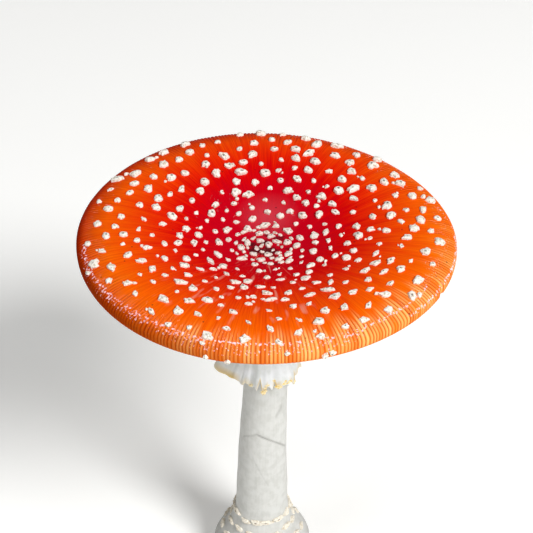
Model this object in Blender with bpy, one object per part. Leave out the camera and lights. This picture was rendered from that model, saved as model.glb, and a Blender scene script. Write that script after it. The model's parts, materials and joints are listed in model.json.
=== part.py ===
"""A fly agaric as picked: dished red cap with pale warts, gills, hanging ring, stem and bulb.

Metres, +Z up. The bulb is cut flat, and the origin is the centre of the cut face that it stands on.
Angles run round +Z from +X. The front of the mushroom, where the ring clings to the stem, is at -Y.
"""

import math
import random

import bmesh
import bpy
from mathutils import Vector

# Cap, measured from the crest plane: the level of the highest ring round the dish
CREST_HEIGHT = 0.190
CAP_RADIUS = 0.075
CREST_RADIUS = 0.061
DISH_DEPTH = 0.0100
MARGIN_DROP = 0.0048
CAP_CENTRE_X = 0.0019

# Slow waves of the rim, up and down and in and out: waves in one turn, size at the rim, phase
RIM_LIFTS = ((2, 0.0004, 1.57), (3, 0.0004, 1.94))
RIM_REACHES = ((1, 0.0009, -1.94), (2, 0.0012, 0.82), (3, 0.0004, 0.28))

# The lip: the edge of the skin, curled down round the ends of the gills
LIP_RADIUS = 0.0742
LIP_DROP = 0.0072
LIP_THICKNESS = 0.0010
NICK_ANGLE = math.radians(-27)
NICK_WIDTH = math.radians(1.8)
NICK_DEPTH = 0.0012
NICK_START = 0.072

# Ribs of the margin
RIB_COUNT = 120
RIB_HEIGHT = 0.00042
RIB_OUT = 0.6
RIB_UP = 0.8
RIB_START = 0.060
RIB_FULL = 0.070
LIP_RIB = 0.6

# Underside of the flesh
FLESH_CENTRE = 0.0190
FLESH_MARGIN = 0.0040
FLESH_RADIUS = 0.0728
FLESH_SPREAD = 1.12
FLESH_THINNING = 0.8
SEAT_RADIUS = 0.0112

# Every two pieces that meet keep this gap
GAP = 0.0003

# Warts: what is left of the veil on the skin
WART_SEED = 41
WART_TRIES = 26000
WART_FIELD = 0.0705
WART_GAP_CENTRE = 0.0036
WART_GAP_CREST = 0.0063
WART_GAP_MORE = 0.0014
WART_WIDTH_CENTRE = 0.0031
WART_WIDTH_MARGIN = 0.0037
WART_SPREAD = (0.62, 1.42)
WART_LARGEST = 0.86
WART_RISE = 0.42
WART_TOP = 0.5
WART_ROOT = 0.0007
SMALL_WART = 0.0040

# Gills
GILL_COUNT = 120
GILL_INNER = 0.0128
GILL_OUTER = 0.0724
GILL_LOWEST = 0.0250
GILL_LOWEST_RADIUS = 0.0235
GILL_OUTER_DROP = 0.0067
GILL_INNER_DROP = 0.0210
GILL_BED = 0.0009
SHORT_GILL_START = 0.030
SHORT_GILL_FULL = 0.042

# Stem and bulb
STEM_TOP = CREST_HEIGHT - FLESH_CENTRE - GAP
STEM_TOP_RADIUS = 0.0075
STEM_FOOT_RADIUS = 0.0129
STEM_FLARE = 0.0026
STEM_FLARE_LENGTH = 0.009
STEM_OVAL = 0.012
STEM_BUMP = 0.008
BULB_SWELL = 0.0098
BULB_HEIGHT = 0.010
BULB_LENGTH = 0.0125
BEND_START = 0.045
BEND_END = 0.139
SCALE_SEED = 7
SCALE_RINGS = (0.0195, 0.0260, 0.0325)
SCALES_PER_RING = 14
SCALE_LENGTHS = (0.0036, 0.0050)
SCALE_BREADTHS = (0.0020, 0.0028)
SCALE_RISES = (0.0009, 0.0014)
SCALE_STRAY = 0.0009
SCALE_ROOT = 0.0009
SCALE_TOP = 0.6
SCALE_TILT = 0.35

# Ring: the veil that hangs round the stem as a skirt, with one side lobe that stands off it
RING_TOP = 0.1420
RING_THICKNESS = 0.0010
HEM_RADIUS = 0.0139
HEM_HEIGHT = 0.1178
LOBE_ANGLE = math.radians(178)
LOBE_WIDTH = math.radians(18)
LOBE_REACH = 0.0080
BACK_SWELL = 0.0018
RING_FOLDS = 7
FOLD_DEPTH = 0.0006
TOOTH_DEPTH = 0.0010
SKIRT_FLARE = 1.35
OUTER_SHARES = (0.0, 0.25, 0.5, 0.75, 0.95)
HEM_SHARE = 1.03
INNER_SHARES = (0.95, 0.5, 0.0)

# Facets round each body
CAP_SIDES = 48
STEM_SIDES = 36
RING_SIDES = 54

# Where each profile has its rings of corners
DISH_RADII = (0.0080, 0.0165, 0.0255, 0.0350, 0.0450, 0.0550, 0.0620, 0.0668)
MARGIN_RADII = (0.0705, 0.0735, CAP_RADIUS)
BED_RADII = (0.060, 0.044, 0.030, 0.020)
GILL_RADII = (GILL_OUTER, 0.060, SHORT_GILL_FULL, SHORT_GILL_START, GILL_LOWEST_RADIUS, 0.0165, GILL_INNER)
STEM_HEIGHTS = (0, 0.004, 0.009, 0.014, 0.019, 0.024, 0.030, 0.038, 0.055, 0.080, 0.105, 0.130, 0.152, 0.163)


def clear_scene():
    """Remove what the startup scene holds."""
    for old in list(bpy.data.objects):
        bpy.data.objects.remove(old)


def material(name, colour, roughness):
    """A Principled BSDF in one colour."""
    made = bpy.data.materials.new(name)
    made.use_nodes = True
    shader = made.node_tree.nodes["Principled BSDF"]
    shader.inputs["Base Color"].default_value = (*colour, 1.0)
    shader.inputs["Roughness"].default_value = roughness
    shader.inputs["Metallic"].default_value = 0.0
    return made


def ease(value, start, end):
    """0 before start, 1 after end, and a smooth rise between them."""
    share = min(1.0, max(0.0, (value - start) / (end - start)))
    return share * share * (3 - 2 * share)


def turn(radius, angle, height):
    """A point at a radius, an angle and a height round the Z axis."""
    return Vector((radius * math.cos(angle), radius * math.sin(angle), height))


def angles(count):
    """Evenly spaced angles round one turn."""
    return [2 * math.pi * step / count for step in range(count)]


def join_rings(mesh, first, second):
    """Faces between two closed rings of vertices, where one ring has a whole number of times as many."""
    coarse, fine = sorted((first, second), key=len)
    each = len(fine) // len(coarse)
    for step, corner in enumerate(coarse):
        after = coarse[(step + 1) % len(coarse)]
        run = [fine[(step * each + k) % len(fine)] for k in range(each + 1)]
        if each == 1:
            mesh.faces.new((corner, after, run[1], run[0]))
            continue
        middle = each // 2
        for k in range(each):
            mesh.faces.new((corner if k < middle else after, run[k + 1], run[k]))
        mesh.faces.new((corner, after, run[middle]))


def close_ring(mesh, loop, centre):
    """A fan of triangles from a ring of vertices to one point."""
    middle = mesh.verts.new(centre)
    for step, corner in enumerate(loop):
        mesh.faces.new((corner, loop[(step + 1) % len(loop)], middle))


def solid(name, mesh, finish):
    """A named object from a closed bmesh, with its faces pointing out."""
    bmesh.ops.recalc_face_normals(mesh, faces=mesh.faces)
    data = bpy.data.meshes.new(name)
    mesh.to_mesh(data)
    mesh.free()
    data.materials.append(finish)
    data.shade_smooth()
    data.set_sharp_from_angle(angle=math.radians(35))
    made = bpy.data.objects.new(name, data)
    bpy.context.scene.collection.objects.link(made)
    return made


def fuse(body, pieces):
    """Join many small closed pieces to a body with one Boolean union, then remove them."""
    group = bpy.data.collections.new(body.name + "_repeats")
    bpy.context.scene.collection.children.link(group)
    for piece in pieces:
        bpy.context.scene.collection.objects.unlink(piece)
        group.objects.link(piece)
    union = body.modifiers.new("union", "BOOLEAN")
    union.operation = "UNION"
    union.operand_type = "COLLECTION"
    union.collection = group
    graph = bpy.context.evaluated_depsgraph_get()
    joined = bpy.data.meshes.new_from_object(body.evaluated_get(graph))
    body.modifiers.remove(union)
    body.data = joined
    for piece in pieces:
        bpy.data.objects.remove(piece)
    bpy.data.collections.remove(group)


def cap_height(radius):
    """Height of the skin over the crest plane: a dish, its crest, then the margin turning down."""
    if radius <= CREST_RADIUS:
        return -DISH_DEPTH * (1 + math.cos(math.pi * radius / CREST_RADIUS)) / 2
    share = min(1.0, (radius - CREST_RADIUS) / (CAP_RADIUS - CREST_RADIUS))
    return -MARGIN_DROP * (1 - math.sqrt(1 - share * share))


def flesh_height(radius):
    """Height of the underside of the flesh over the crest plane."""
    thin = ease(radius, SEAT_RADIUS, FLESH_RADIUS * FLESH_SPREAD) ** FLESH_THINNING
    return -FLESH_CENTRE * (1 - thin) - FLESH_MARGIN * thin


def gill_height(radius):
    """Height of the free edge of a full gill over the crest plane."""
    if radius < GILL_LOWEST_RADIUS:
        share = ease(radius, GILL_INNER, GILL_LOWEST_RADIUS)
        return -GILL_INNER_DROP - (GILL_LOWEST - GILL_INNER_DROP) * math.sin(share * math.pi / 2)
    share = (radius - GILL_LOWEST_RADIUS) / (GILL_OUTER - GILL_LOWEST_RADIUS)
    return -GILL_LOWEST + (GILL_LOWEST - GILL_OUTER_DROP) * share ** 1.25


def waves(angle, harmonics):
    """Sum of the slow waves at an angle."""
    return sum(size * math.cos(count * angle + phase) for count, size, phase in harmonics)


def off_angle(angle, middle):
    """How far an angle is from another one, going the shorter way round."""
    return abs((angle - middle + math.pi) % (2 * math.pi) - math.pi)


def nick(angle):
    """The small tear in the margin, as a share of its full depth."""
    return max(0.0, 1 - off_angle(angle, NICK_ANGLE) / NICK_WIDTH)


def cap_point(radius, height, angle, rib=0.0, torn=0.0):
    """A point of the cap from its radius, its height over the crest plane and its angle."""
    share = radius / CAP_RADIUS
    ridge = rib * RIB_HEIGHT * math.cos(RIB_COUNT * angle)
    sway = share ** 3 * waves(angle, RIM_REACHES)
    reach = radius + RIB_OUT * ridge + sway - torn * NICK_DEPTH * nick(angle)
    lift = CREST_HEIGHT + height + RIB_UP * ridge + share ** 2 * waves(angle, RIM_LIFTS)
    return turn(reach, angle, lift) + Vector((CAP_CENTRE_X, 0, 0))


def cap_ring(mesh, count, radius, height, rib=0.0, torn=0.0):
    """A ring of vertices round the cap."""
    return [mesh.verts.new(cap_point(radius, height, angle, rib, torn)) for angle in angles(count)]


def cap_body(finish):
    """Skin and flesh as one solid: dish, ribbed margin, lip and underside."""
    mesh = bmesh.new()
    fine = 2 * RIB_COUNT
    rings = []
    for radius in DISH_RADII:
        rings.append(cap_ring(mesh, CAP_SIDES, radius, cap_height(radius)))
    for radius in MARGIN_RADII:
        rib, torn = ease(radius, RIB_START, RIB_FULL), ease(radius, NICK_START, CAP_RADIUS)
        rings.append(cap_ring(mesh, fine, radius, cap_height(radius), rib, torn))
    rings.append(cap_ring(mesh, fine, LIP_RADIUS, -LIP_DROP, LIP_RIB, 1.0))
    rings.append(cap_ring(mesh, CAP_SIDES, LIP_RADIUS - LIP_THICKNESS, -LIP_DROP))
    for radius in (FLESH_RADIUS, *BED_RADII, SEAT_RADIUS):
        rings.append(cap_ring(mesh, CAP_SIDES, radius, flesh_height(radius)))
    for first, second in zip(rings, rings[1:]):
        join_rings(mesh, first, second)
    close_ring(mesh, rings[0], cap_point(0, cap_height(0), 0))
    close_ring(mesh, rings[-1], cap_point(0, flesh_height(0), 0))
    return solid("cap", mesh, finish)


def wart_gap(radius):
    """The least distance from a wart at this radius to the next one."""
    spread = min(1.0, radius / CREST_RADIUS) ** 0.9
    more = WART_GAP_MORE * ease(radius, CREST_RADIUS, WART_FIELD)
    return WART_GAP_CENTRE + (WART_GAP_CREST - WART_GAP_CENTRE) * spread + more


def wart_spots():
    """Seeded warts, crowded in the dish and sparse at the margin: radius, angle, width, turn, stretch."""
    draw = random.Random(WART_SEED)
    spots = []
    for _ in range(WART_TRIES):
        radius = WART_FIELD * math.sqrt(draw.random())
        angle = 2 * math.pi * draw.random()
        size, lean, stretch = draw.uniform(*WART_SPREAD), draw.gauss(0, 0.6), draw.uniform(1.0, 1.5)
        gap = wart_gap(radius)
        here = turn(radius, angle, 0)
        if any((here - turn(spot[0], spot[1], 0)).length < (gap + wart_gap(spot[0])) / 2 for spot in spots):
            continue
        middle = WART_WIDTH_CENTRE + (WART_WIDTH_MARGIN - WART_WIDTH_CENTRE) * radius / WART_FIELD
        width = min(middle * size, WART_LARGEST * gap)
        spots.append((radius, angle, width, angle + math.pi / 2 + lean, stretch))
    return spots


def skin_frame(radius, angle):
    """Point and normal of the skin at a radius and an angle."""
    step = 0.0004
    here = cap_point(radius, cap_height(radius), angle)
    outer = cap_point(radius + step, cap_height(radius + step), angle)
    aside = cap_point(radius, cap_height(radius), angle + step / max(radius, step))
    return here, (outer - here).cross(aside - here).normalized()


def lump(name, centre, normal, along, sizes, root, draw, finish):
    """A low wart or scale with an uneven outline: its base is sunk by root, and its flat top is smaller."""
    length, breadth, rise, sides, share = sizes
    along = (along - normal * along.dot(normal)).normalized()
    across = normal.cross(along)
    lean = along * (length * draw.uniform(-0.1, 0.1)) + across * (breadth * draw.uniform(-0.1, 0.1))
    mesh = bmesh.new()
    base, top = [], []
    for step in range(sides):
        angle = 2 * math.pi * (step + draw.uniform(-0.2, 0.2)) / sides
        reach = draw.uniform(0.44, 0.58)
        spoke = along * (math.cos(angle) * length * reach) + across * (math.sin(angle) * breadth * reach)
        base.append(mesh.verts.new(centre + spoke - normal * root))
        top.append(mesh.verts.new(centre + lean + spoke * share + normal * rise))
    join_rings(mesh, base, top)
    mesh.faces.new(base)
    mesh.faces.new(top)
    return solid(name, mesh, finish)


def cap(finish):
    """The cap with its warts, as one body."""
    body = cap_body(finish)
    draw = random.Random(WART_SEED + 1)
    warts = []
    for index, (radius, angle, width, heading, stretch) in enumerate(wart_spots()):
        centre, normal = skin_frame(radius, angle)
        breadth = width / math.sqrt(stretch)
        sizes = (breadth * stretch, breadth, width * WART_RISE, 4 if width < SMALL_WART else 5, WART_TOP)
        along = turn(1, heading, 0)
        warts.append(lump(f"wart_{index}", centre, normal, along, sizes, WART_ROOT, draw, finish))
    fuse(body, warts)
    return body


def gill_ring(mesh, radius):
    """Vertices round the underside of the gills: on the bed between two gills, then on a gill's edge."""
    bed = flesh_height(radius) - GAP - GILL_BED
    edge = min(gill_height(radius), bed - 0.0001)
    short = ease(radius, SHORT_GILL_START, SHORT_GILL_FULL)
    ring = []
    for step, angle in enumerate(angles(2 * GILL_COUNT)):
        if step % 2 == 0:
            height = bed
        elif step % 4 == 1:
            height = edge
        else:
            height = bed + (edge - bed) * short
        ring.append(mesh.verts.new(cap_point(radius, height, angle)))
    return ring


def gills(finish):
    """Every gill, full and short, on one thin bed under the flesh."""
    mesh = bmesh.new()
    bed = []
    for radius in (GILL_INNER, *reversed(BED_RADII), GILL_OUTER):
        bed.append(cap_ring(mesh, CAP_SIDES, radius, flesh_height(radius) - GAP))
    edges = []
    for radius in GILL_RADII:
        edges.append(gill_ring(mesh, radius))
    rings = [*bed, *edges]
    for first, second in zip(rings, [*rings[1:], rings[0]]):
        join_rings(mesh, first, second)
    return solid("gills", mesh, finish)


def stem_radius(height):
    """Radius of the stem: a straight taper, with a flare under the cap and a bulb at the foot."""
    taper = STEM_FOOT_RADIUS + (STEM_TOP_RADIUS - STEM_FOOT_RADIUS) * height / STEM_TOP
    flare = STEM_FLARE * math.exp(-(STEM_TOP - height) / STEM_FLARE_LENGTH)
    bulb = BULB_SWELL * math.exp(-(((height - BULB_HEIGHT) / BULB_LENGTH) ** 2))
    return taper + flare + bulb


def stem_axis(height):
    """Centre of the stem at a height: it bends slightly on the way up."""
    return Vector((CAP_CENTRE_X * ease(height, BEND_START, BEND_END), 0, height))


def stem_point(height, angle):
    """A point of the stem's surface, which isn't quite round."""
    uneven = STEM_OVAL * math.sin(2 * angle + 30 * height) + STEM_BUMP * math.sin(3 * angle - 45 * height)
    return stem_axis(height) + turn(stem_radius(height) * (1 + uneven), angle, 0)


def stem(finish):
    """Stem, bulb and the rings of scales on the bulb, cut flat across the foot."""
    mesh = bmesh.new()
    rings = []
    for height in (*STEM_HEIGHTS, STEM_TOP):
        rings.append([mesh.verts.new(stem_point(height, angle)) for angle in angles(STEM_SIDES)])
    for first, second in zip(rings, rings[1:]):
        join_rings(mesh, first, second)
    close_ring(mesh, rings[0], stem_axis(0))
    close_ring(mesh, rings[-1], stem_axis(STEM_TOP))
    body = solid("stem", mesh, finish)
    draw = random.Random(SCALE_SEED)
    scales = []
    for row, height in enumerate(SCALE_RINGS):
        for angle in angles(SCALES_PER_RING):
            spot = angle + math.pi * row / SCALES_PER_RING + draw.uniform(-0.07, 0.07)
            centre = stem_point(height + draw.uniform(-SCALE_STRAY, SCALE_STRAY), spot)
            length, breadth = draw.uniform(*SCALE_LENGTHS), draw.uniform(*SCALE_BREADTHS)
            sizes = (length, breadth, draw.uniform(*SCALE_RISES), 4, SCALE_TOP)
            out, along = turn(1, spot, SCALE_TILT).normalized(), turn(1, spot + math.pi / 2, 0)
            scales.append(lump(f"scale_{len(scales)}", centre, out, along, sizes, SCALE_ROOT, draw, finish))
    fuse(body, scales)
    return body


def hem_radius(angle):
    """Radius of the ring's hem: close round the stem, with soft folds and one lobe."""
    lobe = LOBE_REACH * math.exp(-((off_angle(angle, LOBE_ANGLE) / LOBE_WIDTH) ** 2))
    folds = FOLD_DEPTH * math.sin(RING_FOLDS * angle + 0.8)
    return HEM_RADIUS + lobe + BACK_SWELL * max(0.0, math.sin(angle)) + folds


def hem_height(angle):
    """Height of the ring's hem: a ragged edge."""
    return HEM_HEIGHT + TOOTH_DEPTH * (math.sin(17 * angle + 2.0) + 0.5 * math.sin(5 * angle + 1.0))


def ring_profile(angle, share):
    """Middle of the skirt from its top, at 0, to its hem, at 1: radius from the stem's axis and height."""
    top = stem_radius(RING_TOP) * (1 + STEM_OVAL + STEM_BUMP) + GAP + RING_THICKNESS / 2
    radius = top + (hem_radius(angle) - top) * share ** SKIRT_FLARE
    height = RING_TOP + (hem_height(angle) - RING_TOP) * share
    return Vector((radius, height))


def ring_point(angle, share, side):
    """A point on one face of the skirt: side is 1 for the outer face and -1 for the one towards the stem."""
    step = 0.02
    here = ring_profile(angle, share)
    slope = ring_profile(angle, share + step) - ring_profile(angle, share - step if share > step else 0)
    out = Vector((-slope.y, slope.x)).normalized() * side * RING_THICKNESS / 2
    axis = stem_axis(RING_TOP)
    return turn(here.x + out.x, angle, here.y + out.y) + Vector((axis.x, axis.y, 0))


def ring(finish):
    """The ring as one closed skirt round the stem."""
    mesh = bmesh.new()
    rows = [(share, 1) for share in OUTER_SHARES] + [(HEM_SHARE, 0)] + [(share, -1) for share in INNER_SHARES]
    loops = []
    for share, side in rows:
        loops.append([mesh.verts.new(ring_point(angle, share, side)) for angle in angles(RING_SIDES)])
    for first, second in zip(loops, [*loops[1:], loops[0]]):
        join_rings(mesh, first, second)
    return solid("ring", mesh, finish)


def main():
    """Build every piece."""
    clear_scene()
    cap(material("cap skin", (0.72, 0.055, 0.02), 0.3))
    gills(material("gill flesh", (0.86, 0.83, 0.74), 0.7))
    ring(material("ring veil", (0.84, 0.83, 0.76), 0.65))
    stem(material("stem flesh", (0.82, 0.81, 0.77), 0.7))


main()
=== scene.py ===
"""Looks of a fly agaric: glossy dished cap with its warts, gills, hanging ring, stem and bulb, on a pale floor.

Metres, +Z up, in the frame of the solids. Angles run round +Z from +X, and -Y faces the camera. A range that a
finish reads is where a reading starts and ends, and then what it becomes there, or 0 and 1.
"""

import json
import logging
import math
import random
from dataclasses import dataclass, field
from enum import Enum
from typing import Any

import bmesh
import bpy
import numpy as np
from mathutils import Matrix, Vector, noise

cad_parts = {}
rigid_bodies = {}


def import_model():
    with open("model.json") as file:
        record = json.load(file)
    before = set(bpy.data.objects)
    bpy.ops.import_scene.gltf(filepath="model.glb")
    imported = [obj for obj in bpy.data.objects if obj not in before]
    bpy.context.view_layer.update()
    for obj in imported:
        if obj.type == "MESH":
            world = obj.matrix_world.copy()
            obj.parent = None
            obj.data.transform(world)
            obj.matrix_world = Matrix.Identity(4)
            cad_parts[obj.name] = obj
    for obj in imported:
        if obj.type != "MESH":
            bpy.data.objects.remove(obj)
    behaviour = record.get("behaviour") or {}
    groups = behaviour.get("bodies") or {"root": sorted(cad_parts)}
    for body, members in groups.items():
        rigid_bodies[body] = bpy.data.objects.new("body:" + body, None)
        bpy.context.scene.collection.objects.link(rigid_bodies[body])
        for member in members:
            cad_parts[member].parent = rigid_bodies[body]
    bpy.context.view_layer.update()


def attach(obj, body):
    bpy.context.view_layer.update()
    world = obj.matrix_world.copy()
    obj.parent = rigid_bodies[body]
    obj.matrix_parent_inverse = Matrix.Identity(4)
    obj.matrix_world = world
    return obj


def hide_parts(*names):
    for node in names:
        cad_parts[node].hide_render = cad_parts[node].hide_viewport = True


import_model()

logging.basicConfig(level=logging.INFO, format="%(name)s: %(message)s")
log = logging.getLogger("agaric")

MM = 0.001
BODY = "root"


def ease(value: Any, start: Any, end: Any) -> Any:
    """0 before start, 1 after end, and a smooth rise between them, for numbers and arrays."""
    share = np.clip((value - start) / (end - start), 0.0, 1.0)
    return share * share * (3 - 2 * share)


def angles(count: int) -> np.ndarray:
    """Evenly spaced angles round one turn."""
    return np.arange(count) * (2 * math.pi / count)


def off_angle(angle: Any, middle: float) -> Any:
    """How far an angle is from another one, going the shorter way round."""
    return np.abs((angle - middle + math.pi) % (2 * math.pi) - math.pi)


def flat_spot(radius: float, angle: float) -> Vector:
    """The point at a radius and an angle, at no height."""
    return Vector((radius * math.cos(angle), radius * math.sin(angle), 0))


def outward(angle: float, slope: float = 0.0) -> Vector:
    """Unit direction away from the axis at an angle, rising by a slope."""
    return Vector((math.cos(angle), math.sin(angle), slope)).normalized()


def sideways(angle: float, slope: float = 0.0) -> Vector:
    """Direction round the axis at an angle, rising by a slope."""
    return Vector((-math.sin(angle), math.cos(angle), slope))


def scaled(shape: tuple, size: float) -> tuple:
    """A shape's length, breadth and height at a size."""
    return tuple(size * share for share in shape)


def ripple(angle: np.ndarray, cells: float, layer: float) -> np.ndarray:
    """Smooth noise round one turn that meets itself, about -1 to 1.

    Args:
        angle: angles to read it at.
        cells: how many bumps one turn has, roughly.
        layer: picks another noise of the same kind.

    Returns:
        One value for each angle.
    """
    reach = cells / (2 * math.pi)
    spots = zip(np.cos(angle) * reach, np.sin(angle) * reach)
    return np.array([2 * noise.noise(Vector((x, y, layer))) for x, y in spots])


def linear(code: str) -> tuple[float, float, float, float]:
    """An sRGB hex colour such as #C81020 as linear RGBA."""
    parts = [int(code[place:place + 2], 16) / 255 for place in (1, 3, 5)]
    return (*(c / 12.92 if c <= 0.04045 else ((c + 0.055) / 1.055) ** 2.4 for c in parts), 1.0)


def fill_ramp(ramp: bpy.types.ColorRamp, stops: tuple) -> None:
    """Give a colour ramp its stops.

    Args:
        ramp: the colour ramp, with two stops of its own.
        stops: place and hex colour of each stop, in order.
    """
    for extra in range(len(stops) - 2):
        ramp.elements.new((extra + 1) / len(stops))
    for element, (place, code) in zip(ramp.elements, stops):
        element.position, element.color = place, linear(code)


def feed(node: Any, *values: Any, **named: Any) -> Any:
    """Give a node its settings, socket values and links.

    Args:
        node: the node.
        values: what its live inputs get, in their order.
        named: other inputs by name, with a capital and _ for a space, and settings of the node. stops fills
            a colour ramp.

    Returns:
        The node. A node that is given to an input is linked from its first live output.
    """
    for name, value in named.items():
        if name == "stops":
            fill_ramp(node.color_ramp, value)
        elif name[0].islower():
            setattr(node, name, value)
    live = [socket for socket in node.inputs if socket.enabled]
    pairs = list(zip(live, values))
    for name, value in named.items():
        if name[0].isupper():
            pairs.append((next(socket for socket in live if socket.name == name.replace("_", " ")), value))
    for socket, value in pairs:
        if isinstance(value, bpy.types.Node):
            value = next(output for output in value.outputs if output.enabled)
        if isinstance(value, bpy.types.NodeSocket):
            node.id_data.links.new(value, socket)
        else:
            socket.default_value = value
    return node


def add_node(tree: bpy.types.NodeTree, kind: str, *values: Any, **named: Any) -> Any:
    """Add a node of a kind to a tree, with its settings, socket values and links as feed takes them."""
    return feed(tree.nodes.new(kind), *values, **named)


def paint(tree: bpy.types.NodeTree, colour: Any, *coats: tuple) -> Any:
    """Lay coats of colour over each other.

    Args:
        tree: the node tree.
        colour: the colour below them, as a node or linear RGBA.
        coats: the hex colour of each coat, then the shares that are multiplied to give its strength.

    Returns:
        The node with the colour.
    """
    for code, strength, *shares in coats:
        for share in shares:
            strength = add_node(tree, "ShaderNodeMath", strength, share, operation="MULTIPLY")
        colour = add_node(tree, "ShaderNodeMix", strength, colour, linear(code), data_type="RGBA")
    return colour


def new_material(name: str, **values: Any) -> tuple[bpy.types.Material, bpy.types.NodeTree, Any]:
    """A material with one Principled BSDF.

    Args:
        name: the material's name.
        values: values that are the same all over the surface, by socket name with _ for a space.

    Returns:
        The material, its node tree and its shader node.
    """
    made = bpy.data.materials.new(name)
    made.use_nodes = True
    return made, made.node_tree, feed(made.node_tree.nodes["Principled BSDF"], **values)


def new_tree(name: str, **kinds: str) -> tuple[bpy.types.NodeTree, Any]:
    """A Geometry Nodes tree that takes and gives geometry.

    Args:
        name: the tree's name.
        kinds: the kinds of its other inputs, by name.

    Returns:
        The tree, and the sockets of its inputs by name.
    """
    tree = bpy.data.node_groups.new(name, "GeometryNodeTree")
    for label, kind in {"Geometry": "Geometry", **kinds}.items():
        tree.interface.new_socket(label, in_out="INPUT", socket_type="NodeSocket" + kind)
    tree.interface.new_socket("Geometry", in_out="OUTPUT", socket_type="NodeSocketGeometry")
    return tree, add_node(tree, "NodeGroupInput").outputs


def close_tree(tree: bpy.types.NodeTree, geometry: Any, finish: Any) -> bpy.types.NodeTree:
    """End a Geometry Nodes tree by giving its geometry a material.

    Args:
        tree: the tree.
        geometry: the node or socket with the geometry.
        finish: the socket with the material.

    Returns:
        The tree.
    """
    dressed = add_node(tree, "GeometryNodeSetMaterial", geometry, Material=finish)
    add_node(tree, "NodeGroupOutput", Geometry=dressed)
    return tree


def grow(name: str, start: bpy.types.Mesh, tree: bpy.types.NodeTree, values: dict) -> bpy.types.Mesh:
    """Run a Geometry Nodes tree on a mesh.

    Args:
        name: the new mesh's name.
        start: the mesh that the tree starts from.
        tree: the tree.
        values: the tree's inputs, by name.

    Returns:
        The result as a plain mesh.
    """
    holder = in_scene(name + " start", start)
    modifier = holder.modifiers.new("grow", "NODES")
    modifier.node_group = tree
    for item in tree.interface.items_tree:
        if item.in_out == "INPUT" and item.name in values:
            modifier[item.identifier] = values[item.name]
    graph = bpy.context.evaluated_depsgraph_get()
    mesh = bpy.data.meshes.new_from_object(holder.evaluated_get(graph))
    mesh.name = name
    holder.modifiers.remove(modifier)
    bpy.data.objects.remove(holder)
    return mesh


def in_scene(name: str, data: Any) -> bpy.types.Object:
    """Make an object of some data and put it in the scene.

    Args:
        name: the object's name.
        data: its mesh, camera or lamp.

    Returns:
        The object.
    """
    made = bpy.data.objects.new(name, data)
    bpy.context.scene.collection.objects.link(made)
    return made


def faces_between(starts: np.ndarray, counts: list[int], one: int, two: int) -> list[tuple]:
    """Faces between two neighbouring rings of points.

    Args:
        starts: where each ring starts in the list of points.
        counts: how many points each ring has.
        one: number of one ring.
        two: number of the other ring.

    Returns:
        Quads where the rings match, and fans of triangles where one has a multiple of the other's points.
    """
    coarse, fine = (one, two) if counts[one] <= counts[two] else (two, one)
    few, many = counts[coarse], counts[fine]
    each = many // few
    faces = []
    for step in range(few):
        here, after = starts[coarse] + step, starts[coarse] + (step + 1) % few
        run = [starts[fine] + (step * each + k) % many for k in range(each + 1)]
        if each == 1:
            faces.append((here, after, run[1], run[0]))
            continue
        middle = each // 2
        faces.extend((here if k < middle else after, run[k + 1], run[k]) for k in range(each))
        faces.append((here, after, run[middle]))
    return faces


def mesh_of_rings(name: str, rings: Any, poles: tuple, loop: bool = False, **marks: Any) -> bpy.types.Mesh:
    """A closed mesh over rings of points that run round the same axis.

    Args:
        name: the mesh's name.
        rings: the rings in order. Of two neighbours, one has a whole number of times the other's points.
        poles: the points that close the first and the last ring, or nothing where the rings meet in a loop.
        loop: True where the last ring joins the first.
        marks: values for each ring's points, kept on the mesh as attributes.

    Returns:
        The mesh, smooth, with its faces pointing outwards.
    """
    counts = [len(ring) for ring in rings]
    starts = np.cumsum([0] + counts)
    last = len(rings) - 1
    faces = []
    for one, two in [(ring, ring + 1) for ring in range(last)] + [(last, 0)] * loop:
        faces += faces_between(starts, counts, one, two)
    points = np.concatenate(rings)
    for pole, ring in zip(poles, (0, last)):
        count = counts[ring]
        faces.extend((starts[ring] + k, starts[ring] + (k + 1) % count, len(points)) for k in range(count))
        points = np.vstack([points, pole])
    mesh = bpy.data.meshes.new(name)
    mesh.from_pydata(points.tolist(), [], [tuple(int(corner) for corner in face) for face in faces])
    for mark, values in marks.items():
        flat = np.concatenate(values)
        attribute = mesh.attributes.new(mark, "FLOAT", "POINT")
        attribute.data.foreach_set("value", np.append(flat, np.zeros(len(points) - len(flat))))
    outwards(mesh)
    return mesh


def outwards(mesh: bpy.types.Mesh) -> None:
    """Turn a closed mesh's faces outwards and shade them smooth.

    Args:
        mesh: the mesh.
    """
    work = bmesh.new()
    work.from_mesh(mesh)
    bmesh.ops.recalc_face_normals(work, faces=work.faces)
    work.to_mesh(mesh)
    work.free()
    mesh.shade_smooth()


def piece(name: str, mesh: bpy.types.Mesh, finish: bpy.types.Material, slot: str,
          *nodes: str) -> bpy.types.Object:
    """Put a finished mesh on the body.

    Args:
        name: the piece's name.
        mesh: its mesh, in place.
        finish: its material.
        slot: the record's material slot. Not used.
        nodes: the solids that it stands for.

    Returns:
        The piece.
    """
    made = in_scene(name, mesh)
    if not mesh.materials:
        mesh.materials.append(finish)
    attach(made, BODY)
    if nodes:
        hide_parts(*nodes)
    log.info("%s: %d faces", name, len(mesh.polygons))
    return made


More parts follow.
